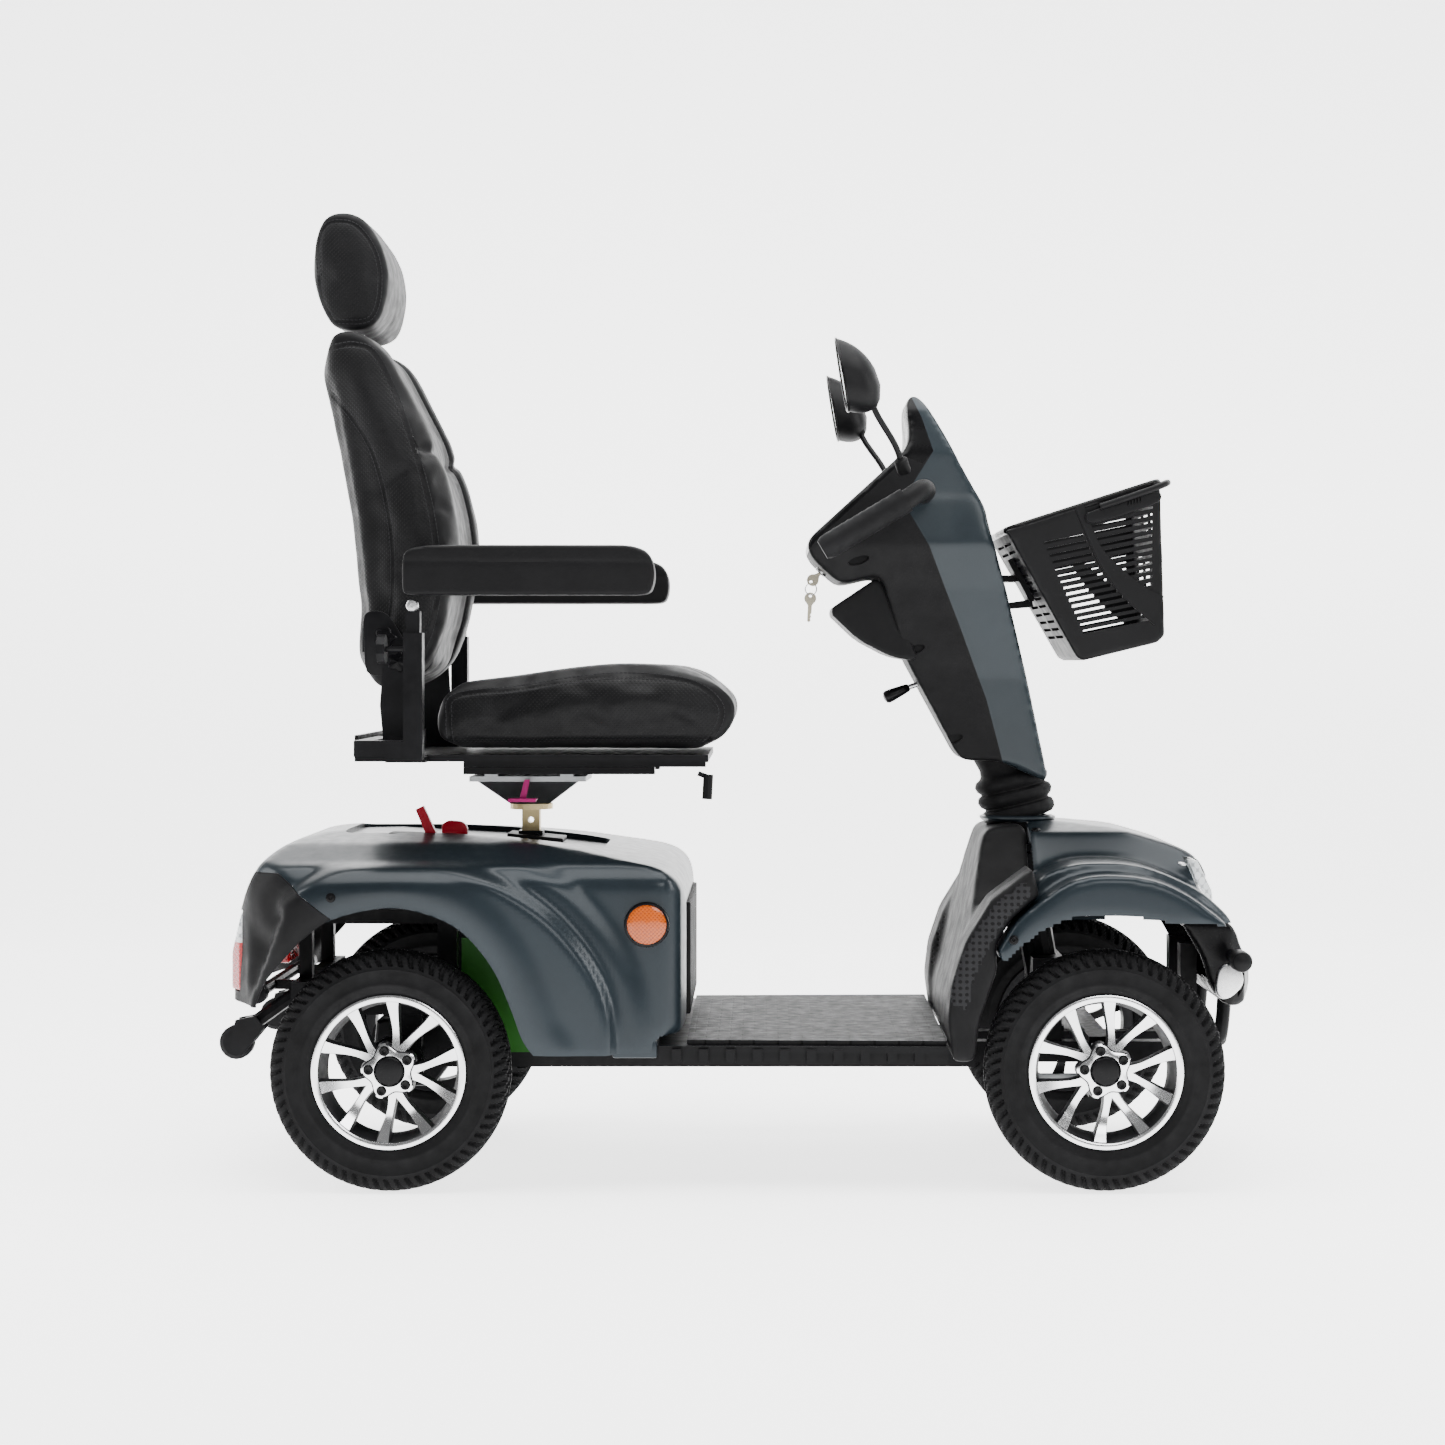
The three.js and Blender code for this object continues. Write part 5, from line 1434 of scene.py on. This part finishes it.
def thread(name, surface, starts, heading, body):
    """Stitches laid along a surface, one between each two neighbouring points."""
    hits = [surface.ray_cast(start, Vector(heading))[:2] for start in starts]
    verts, faces = [], []
    for (spot, facing), (ahead, _) in zip(hits, hits[1:]):
        if spot is None or ahead is None or (ahead - spot).length > 0.02:
            continue
        lift = facing * 0.0003
        ring, sides = tube([spot.lerp(ahead, 0.14) - lift, spot.lerp(ahead, 0.3) + lift,
                            spot.lerp(ahead, 0.7) + lift,
                            spot.lerp(ahead, 0.86) - lift], 0.0007, 6)
        faces += [tuple(i + len(verts) for i in face) for face in sides]
        verts += ring
    dress(loose(name, verts, faces), body, "leather", "thread")


def side_threads(name, surface, seam, spread, body):
    """Two rows of stitches beside a seam on each side of a pad."""
    for side, tag in ((-1, "right"), (1, "left")):
        for row, shift in (("outer", -spread), ("inner", spread)):
            path = paced([(x, 0, z) for x, z in open_offset(seam, shift)], STITCH_PITCH)
            thread(f"{name}_{row}_{tag}", surface, [at(p.x, side * 600, p.z) for p in path],
                   (0, -side, 0), body)


def open_offset(path, amount):
    """An open [x, z] line moved to its right-hand side."""
    moved = []
    for i, (x, z) in enumerate(path):
        a, b = path[max(0, i - 1)], path[min(len(path) - 1, i + 1)]
        run = Vector((b[0] - a[0], b[1] - a[1])).normalized()
        moved.append((x + amount * run.y, z - amount * run.x))
    return moved


def panel_sides(obj, seam, half_width):
    """Gives the side panels inside a seam the pierced cover."""
    obj.data.materials.append(MATERIALS["leather"])
    obj.data.materials.append(MATERIALS["leather_side"])
    centres = np.array([p.center for p in obj.data.polygons]) * 1000
    facing = np.array([p.normal for p in obj.data.polygons])
    spots = np.stack([centres[:, 0] - 1000 * REAR_AXLE_X, centres[:, 2]], axis=1)
    on_side = inside(seam, spots) & (np.abs(facing[:, 1]) > 0.4) & (np.abs(centres[:, 1]) > 0.6
                                                                    * half_width)
    obj.data.polygons.foreach_set("material_index", on_side.astype(np.int32))
    obj.data.update()


def sides_of(obj, half_width):
    return (np.abs(coordinates(obj)[:, 1]) > 0.6 * half_width) * step(0.2, 0.5,
                                                                      np.abs(normals(obj)[:, 1]))


def add_seat_cushion():
    pad = stuffed("seat_cushion_sewn", "seat_cushion", CUSHION, 9, 6, 9)
    points = coordinates(pad)
    points[:, 2] += 4 * step(690, 640, points[:, 2])
    set_coordinates(pad, points)
    seam = open_curve(CUSHION_SEAM, 6)
    crease(pad, distance_to(seam, points[:, [0, 2]]), sides_of(pad, 235), 3.2, 3.5)
    on_top = step(0.3, 0.6, normals(pad)[:, 2])
    edge = np.abs(np.abs(points[:, 1]) - PANEL_EDGE - 18 * step(100, 480, points[:, 0]))
    crease(pad, edge, on_top, 6, 5)
    crease(pad, np.abs(points[:, 0] - 215), on_top * (np.abs(points[:, 1]) < 150), 5, 5)
    panel_sides(pad, seam, 235)
    dress(pad, "seat", "leather", replaces=("seat_cushion",))
    surface = surface_of(pad)
    side_threads("seat_stitches", surface, seam, 4.5, "seat")
    for side, tag in ((-1, "right"), (1, "left")):
        for shift in (-4, 4):
            path = paced([(x, side * (PANEL_EDGE + 18 * (x - 100) / 380 + shift), 1000)
                          for x in range(90, 490, 20)], STITCH_PITCH)
            thread(f"seat_top_stitches_{tag}_{shift + 4}", surface, [at(*p) for p in path], (0, 0, -1),
                   "seat")


def add_backrest_cushion():
    pad = stuffed("backrest_cushion_sewn", "backrest_cushion", BACK, 8, 6, 8)
    points, facing = coordinates(pad), normals(pad)
    forward = step(0.2, 0.6, facing[:, 0])
    points[:, 0] -= 13 * forward * step(PANEL_EDGE + 18, PANEL_EDGE - 30,
                                        np.abs(points[:, 1])) * step(760, 830, points[:, 2])
    set_coordinates(pad, points)
    seam, rear = open_curve(BACK_SEAM, 6), open_curve(BACK_REAR_SEAM, 6)
    flat = points[:, [0, 2]]
    crease(pad, distance_to(seam, flat), sides_of(pad, 215), 3.4, 3.5)
    crease(pad, distance_to(rear, flat), sides_of(pad, 215), 2.4, 3)
    forward = step(0.2, 0.6, normals(pad)[:, 0])
    crease(pad, np.abs(np.abs(points[:, 1]) - PANEL_EDGE), forward, 5, 5)
    notch = np.abs(points[:, 2] - 1086 - 0.16 * np.abs(points[:, 1]))
    crease(pad, notch, forward * (np.abs(points[:, 1]) < 196), 9, 7)
    panel_sides(pad, seam + [(-60, 790), (-90, 1000), (-118, 1200)], 215)
    dress(pad, "backrest", "leather", replaces=("backrest_cushion",))
    surface = surface_of(pad)
    side_threads("back_stitches", surface, seam, 4.5, "backrest")
    side_threads("back_rear_stitches", surface, rear, 3.5, "backrest")
    for side, tag in ((-1, "right"), (1, "left")):
        path = paced([(0, side * (PANEL_EDGE + 5), z) for z in range(775, 1255, 20)], STITCH_PITCH)
        thread(f"back_front_stitches_{tag}", surface, [at(400, p.y, p.z) for p in path], (-1, 0, 0),
               "backrest")


def add_headrest():
    pad = stuffed("headrest_sewn", "headrest", HEAD, 6, 5, 8)
    seam = open_curve(HEAD_SEAM, 6)
    flat = coordinates(pad)[:, [0, 2]]
    crease(pad, distance_to(seam, flat), sides_of(pad, 128), 2.6, 3)
    panel_sides(pad, seam, 128)
    dress(pad, "headrest", "leather", replaces=("headrest",))
    side_threads("head_stitches", surface_of(pad), seam, 3.2, "headrest")
    for side, tag in ((-1, "right"), (1, "left")):
        stay = lathe_z([(0.02, 1240), (5.6, 1240), (5.6, 1312), (0.02, 1312)], -78, side * 55, 24)
        dress(loose(f"headrest_stay_{tag}", *stay), "headrest", "frame_steel", "bright_zinc")


def add_armrests():
    for side, tag in ((-1, "right"), (1, "left")):
        y0, y1 = sorted((side * 276, side * 343))
        pad = prism(shrunk(smooth_corners(ARMREST, 3), 1.5), y0, y1, f"armrest_pad_{tag}")
        soften(pad, 3, 6)
        points, facing = coordinates(pad), normals(pad)
        crown = 1 - ((points[:, 1] - side * 309.5) / 34) ** 2
        points[:, 2] += 2.2 * crown * step(0.3, 0.9, facing[:, 2])
        set_coordinates(pad, points)
        line = np.abs(points[:, 2] - 933 + 0.008 * points[:, 0])
        crease(pad, line, step(0.5, 0.8, np.abs(facing[:, 1])), 1.6, 1.6)
        dress(pad, f"armrest_{tag}", "black_plastic", "rough_plastic", replaces=(f"armrest_{tag}",))
        pin = loose(f"armrest_pin_{tag}", *turned_on(
            [(0.02, -5), (9, -5), (9, 3), (7.5, 5), (3.2, 5.4), (3, 3), (0.02, 3)],
            at(37, side * 326, 868), Vector((0, side, 0)), 32))
        dress(pin, f"armrest_support_{tag}", "frame_steel", "bright_zinc")


def star_knob(name, x, y, z, side):
    """A five-lobed clamping knob on the side of the recliner."""
    sides = 60
    rings = [(0.02, -4), (5, -4), (5, 4), (13, 5), (14.5, 8), (14.5, 14), (12.5, 17), (0.02, 18)]
    verts = []
    for r, h in rings:
        for k in range(sides):
            a = 2 * math.pi * k / sides
            lobed = r * (1 + (0.16 * math.cos(5 * a) if r > 6 else 0))
            verts.append(at(x + lobed * math.cos(a), y + side * h, z + lobed * math.sin(a)))
    knob = loose(name, verts, strip_faces(len(rings), sides, True, True))
    dress(knob, "backrest", "black_plastic", "gloss_plastic")


def add_recliner():
    """The steel plates that carry the back on its two hinge points, and the bars between them."""
    plate = [(-46, 764), (16, 764), (26, 784), (16, 812), (-14, 862), (-50, 862)]
    parts = [bevelled(both_sides(smooth_corners(plate, 2), 226, 231), 1)]
    parts.append(rounded_bar([(-52, 800), (-40, 800), (-40, 836), (-52, 836)], 226, 3))
    parts.append(rounded_bar([(-88, 1190), (-76, 1190), (-76, 1246), (-88, 1246)], 120, 3))
    frame_bars = join_objects("recliner_plates", parts)
    dress(frame_bars, "backrest", "frame_steel", replaces=("back_frame",))
    for side, tag in ((-1, "right"), (1, "left")):
        star_knob(f"recline_knob_{tag}", -14, side * 231, 822, side)
        star_knob(f"hinge_knob_{tag}", 5, side * 231, 785, side)


def add_seat():
    add_recliner()
    add_seat_cushion()
    add_backrest_cushion()
    add_headrest()
    add_armrests()


# ---------------------------------------------------------------- basket
BASKET = [(926, 987), (1161, 1062), (1171, 826), (1160, 815), (1046, 787), (1036, 792)]
BAND_LEFT = [(1030, 1022), (1035, 1010), (1052, 972), (1069, 935), (1089, 905), (1120, 871), (1154, 842)]
BAND_RIGHT = [(1044, 1026), (1048, 1013), (1062, 979), (1076, 955), (1103, 928), (1137, 901), (1168, 886)]
SLOT_COUNT = 15


def x_on(curve, z):
    """Where a falling [x, z] line passes a height."""
    for (ax, az), (bx, bz) in zip(curve, curve[1:]):
        if bz <= z <= az:
            return ax + (bx - ax) * (az - z) / (az - bz)
    return curve[-1][0] if z < curve[-1][1] else curve[0][0]


def side_slots():
    """Sloping slots in both side walls, broken where the moulded band passes."""
    cutters = []
    rise = math.tan(math.radians(11.5))
    for i in range(SLOT_COUNT + 3):
        t = (i - 3) / (SLOT_COUNT - 1)
        x0, z0 = 984 + 61 * t, 967 - 136 * t
        half = 1.9 + 0.9 * max(0, t)
        x1 = x_on(BAND_LEFT, z0 + 14) - 3
        spans = [(x0, x1)] if i > 2 else []
        if x1 < 1112:
            spans.append((x_on(BAND_RIGHT, z0 + 24) + 4, 1150))
        for a, b in spans:
            if b - a > 8:
                za, zb = z0 + (a - x0) * rise, z0 + (b - x0) * rise
                cutters.append(both_sides([(a, za - half), (b, zb - half), (b, zb + half),
                                           (a, za + half)], 125, 200))
    return join_objects("side_slots", cutters)


def rear_slots():
    cutters = []
    for i in range(13):
        z = 822 + 12 * i
        wall = 1031 - (z - 792) * 0.56
        cutters.append(box_solid(wall - 20, wall + 26, -110, -10, z, z + 4.5))
        cutters.append(box_solid(wall - 20, wall + 26, 10, 110, z, z + 4.5))
    return join_objects("rear_slots", cutters)


def front_slots():
    cutters = [box_solid(1140, 1190, y, y + 68, 858 + 12 * i, 862.5 + 12 * i) for i in range(14)
               for y in (-112, -34, 44)]
    return join_objects("front_slots", cutters)


def add_basket():
    shell = prism(BASKET, -172, 172, "basket_moulded")
    boolean(shell, front_prism([(141, 780), (166, 1070)], 850, 1250), "INTERSECT")
    soften(shell, 3.5, 6)
    inner = prism([(900, 1040), (1190, 1120), (1157, 1058), (1167, 829), (1158, 820), (1047, 792),
                   (1040, 796), (931, 988)],
                  -172, 172)
    boolean(inner, front_prism([(137, 780), (162, 1130)], 850, 1250), "INTERSECT")
    boolean(shell, inner)
    for cutter in (side_slots(), rear_slots(), front_slots()):
        boolean(shell, cutter)
    dress(shell, "basket", "black_plastic", replaces=("basket",))
    for side, tag in ((-1, "right"), (1, "left")):
        path = open_curve(BAND_LEFT, 3), open_curve(BAND_RIGHT, 3)
        verts, n = [], len(path[0])
        for depth in (2.6, -1.0):
            for line in path:
                for x, z in line:
                    verts.append(at(x, side * (141 + 25 * (z - 780) / 290 + depth), z))
        faces = []
        for k in range(n - 1):
            faces += [(k, k + 1, n + k + 1, n + k), (2 * n + k, 3 * n + k, 3 * n + k + 1, 2 * n + k + 1),
                      (k, 2 * n + k, 2 * n + k + 1, k + 1), (n + k, n + k + 1, 3 * n + k + 1, 3 * n + k)]
        faces += [(0, n, 3 * n, 2 * n), (n - 1, 3 * n - 1, 4 * n - 1, 2 * n - 1)]
        dress(loose(f"basket_band_{tag}", verts, faces), "basket", "black_plastic")
        pad = [(1046, 1013), (1150, 1046), (1162, 1044), (1162, 1030), (1100, 1008), (1056, 996),
               (1046, 1000)]
        y0, y1 = sorted((side * 163, side * 171))
        grip = bevelled(prism(smooth_corners(pad, 2), y0, y1, f"basket_grip_{tag}"), 2)
        for k in range(5):
            x = 1110 + 4.6 * k
            z = 1031 + 1.4 * k
            boolean(grip, box_solid(x, x + 1.8, side * 169 - 3, side * 169 + 3, z - 7, z + 5))
        dress(grip, "basket", "black_plastic")
    loop = []
    for (x, y), (nx, ny) in zip([(930, -150), (930, 150), (1158, 164), (1158, -164)],
                                [(930, 150), (1158, 164), (1158, -164), (930, -150)]):
        loop += [(x + (nx - x) * t, y + (ny - y) * t) for t in (0.05, 0.12, 0.3, 0.5, 0.7, 0.88, 0.95)]
    rim = smooth_path([at(x, y, 986.5 + (x - 926) * 75 / 235) for x, y in loop], 4, True)
    verts, faces = tube(rim, 0.0058, 14, True)
    dress(loose("basket_rim", verts, faces), "basket", "black_plastic", "gloss_plastic")
    bail = [(1068, -176, 1022), (1110, -178, 1036), (1158, -176, 1053), (1172, -160, 1059),
            (1176, -120, 1062),
            (1177, 0, 1063), (1176, 120, 1062), (1172, 160, 1059), (1158, 176, 1053), (1110, 178, 1036),
            (1068, 176, 1022)]
    handle = loose("basket_bail", *tube(smooth_path([at(*p) for p in bail], 6), 0.0048, 16))
    dress(handle, "basket_handle", "black_plastic", "black_plastic", replaces=("basket_handle",))


# ---------------------------------------------------------------- CAD nodes that stay, in better finishes
def finish_cad_nodes():
    shared = {p["node"]: p["material_slot"] for p in frame["record"]["subparts"]}
    for name, obj in frame["nodes"].items():
        slot = shared[name]
        obj.data.materials.clear()
        obj.data.materials.append(MATERIALS[FINISH_OF_SLOT.get(slot, slot)])
        for polygon in obj.data.polygons:
            polygon.material_index = 0


# ---------------------------------------------------------------- stage, light and camera
def add_floor():
    size, back, rise = 9.0, 4.2, 4.0
    profile = [(-size, 0.0), (back - 1.2, 0.0)]
    profile += [(back - 1.2 + 1.2 * math.sin(a), 1.2 - 1.2 * math.cos(a))
                for a in (math.radians(10 * k) for k in range(1, 10))]
    profile.append((back, rise + 2))
    verts = [(x, y, z - 0.0005) for y, z in profile for x in (-size, size)]
    floor = loose("studio_floor", verts, strip_faces(len(profile), 2))
    f = Finish("studio_paper", (0.86, 0.86, 0.86), 0.75)
    f.vary_colour(f.noise(3, 2), 0.985, 1.0)
    socket(f.bsdf, "Emission Color", (1, 1, 1, 1))
    socket(f.bsdf, "Emission Strength", 2.6)
    floor.data.materials.append(f.material)
    for polygon in floor.data.polygons:
        polygon.use_smooth = True


def add_light(name, location, target, size, power):
    data = bpy.data.lights.new(name, "AREA")
    data.shape = "RECTANGLE"
    data.size, data.size_y = size
    data.energy = power
    light = bpy.data.objects.new(name, data)
    light.location = location
    light.rotation_euler = (Vector(target) - Vector(location)).to_track_quat("-Z", "Y").to_euler()
    bpy.context.scene.collection.objects.link(light)


def add_lights():
    world = bpy.data.worlds.new("studio")
    bpy.context.scene.world = world
    world.use_nodes = True
    world.node_tree.nodes["Background"].inputs[0].default_value = (1, 1, 1, 1)
    world.node_tree.nodes["Background"].inputs[1].default_value = 0.2
    add_light("overhead_softbox", (0.1, -0.4, 3.2), (0, 0, 0.5), (3.6, 2.6), 210)
    add_light("front_softbox", (1.4, -3.6, 2.2), (0.1, 0, 0.6), (2.2, 1.2), 60)
    add_light("nose_strip", (3.2, -0.6, 1.6), (0.3, 0, 0.7), (0.9, 2.2), 70)
    add_light("tail_strip", (-3.0, -0.4, 1.8), (-0.2, 0, 0.7), (0.9, 2.2), 60)


def add_camera():
    """Level, square to the scooter's side, with a small shift for the photograph's framing."""
    data = bpy.data.cameras.new("camera")
    data.sensor_width = 36.0
    data.lens = 68.6
    data.shift_x = -0.0294
    data.shift_y = -0.0419
    camera = bpy.data.objects.new("camera", data)
    camera.location = at(556, -4378, 785)
    camera.rotation_euler = (math.radians(90), 0, 0)
    bpy.context.scene.collection.objects.link(camera)
    bpy.context.scene.camera = camera


add_camera()
finish_cad_nodes()
add_wheels()
add_rear_body()
add_leg_shield()
add_hood()
add_bumper()
add_deck()
add_seat()
add_tiller()
add_basket()
add_floor()
add_lights()
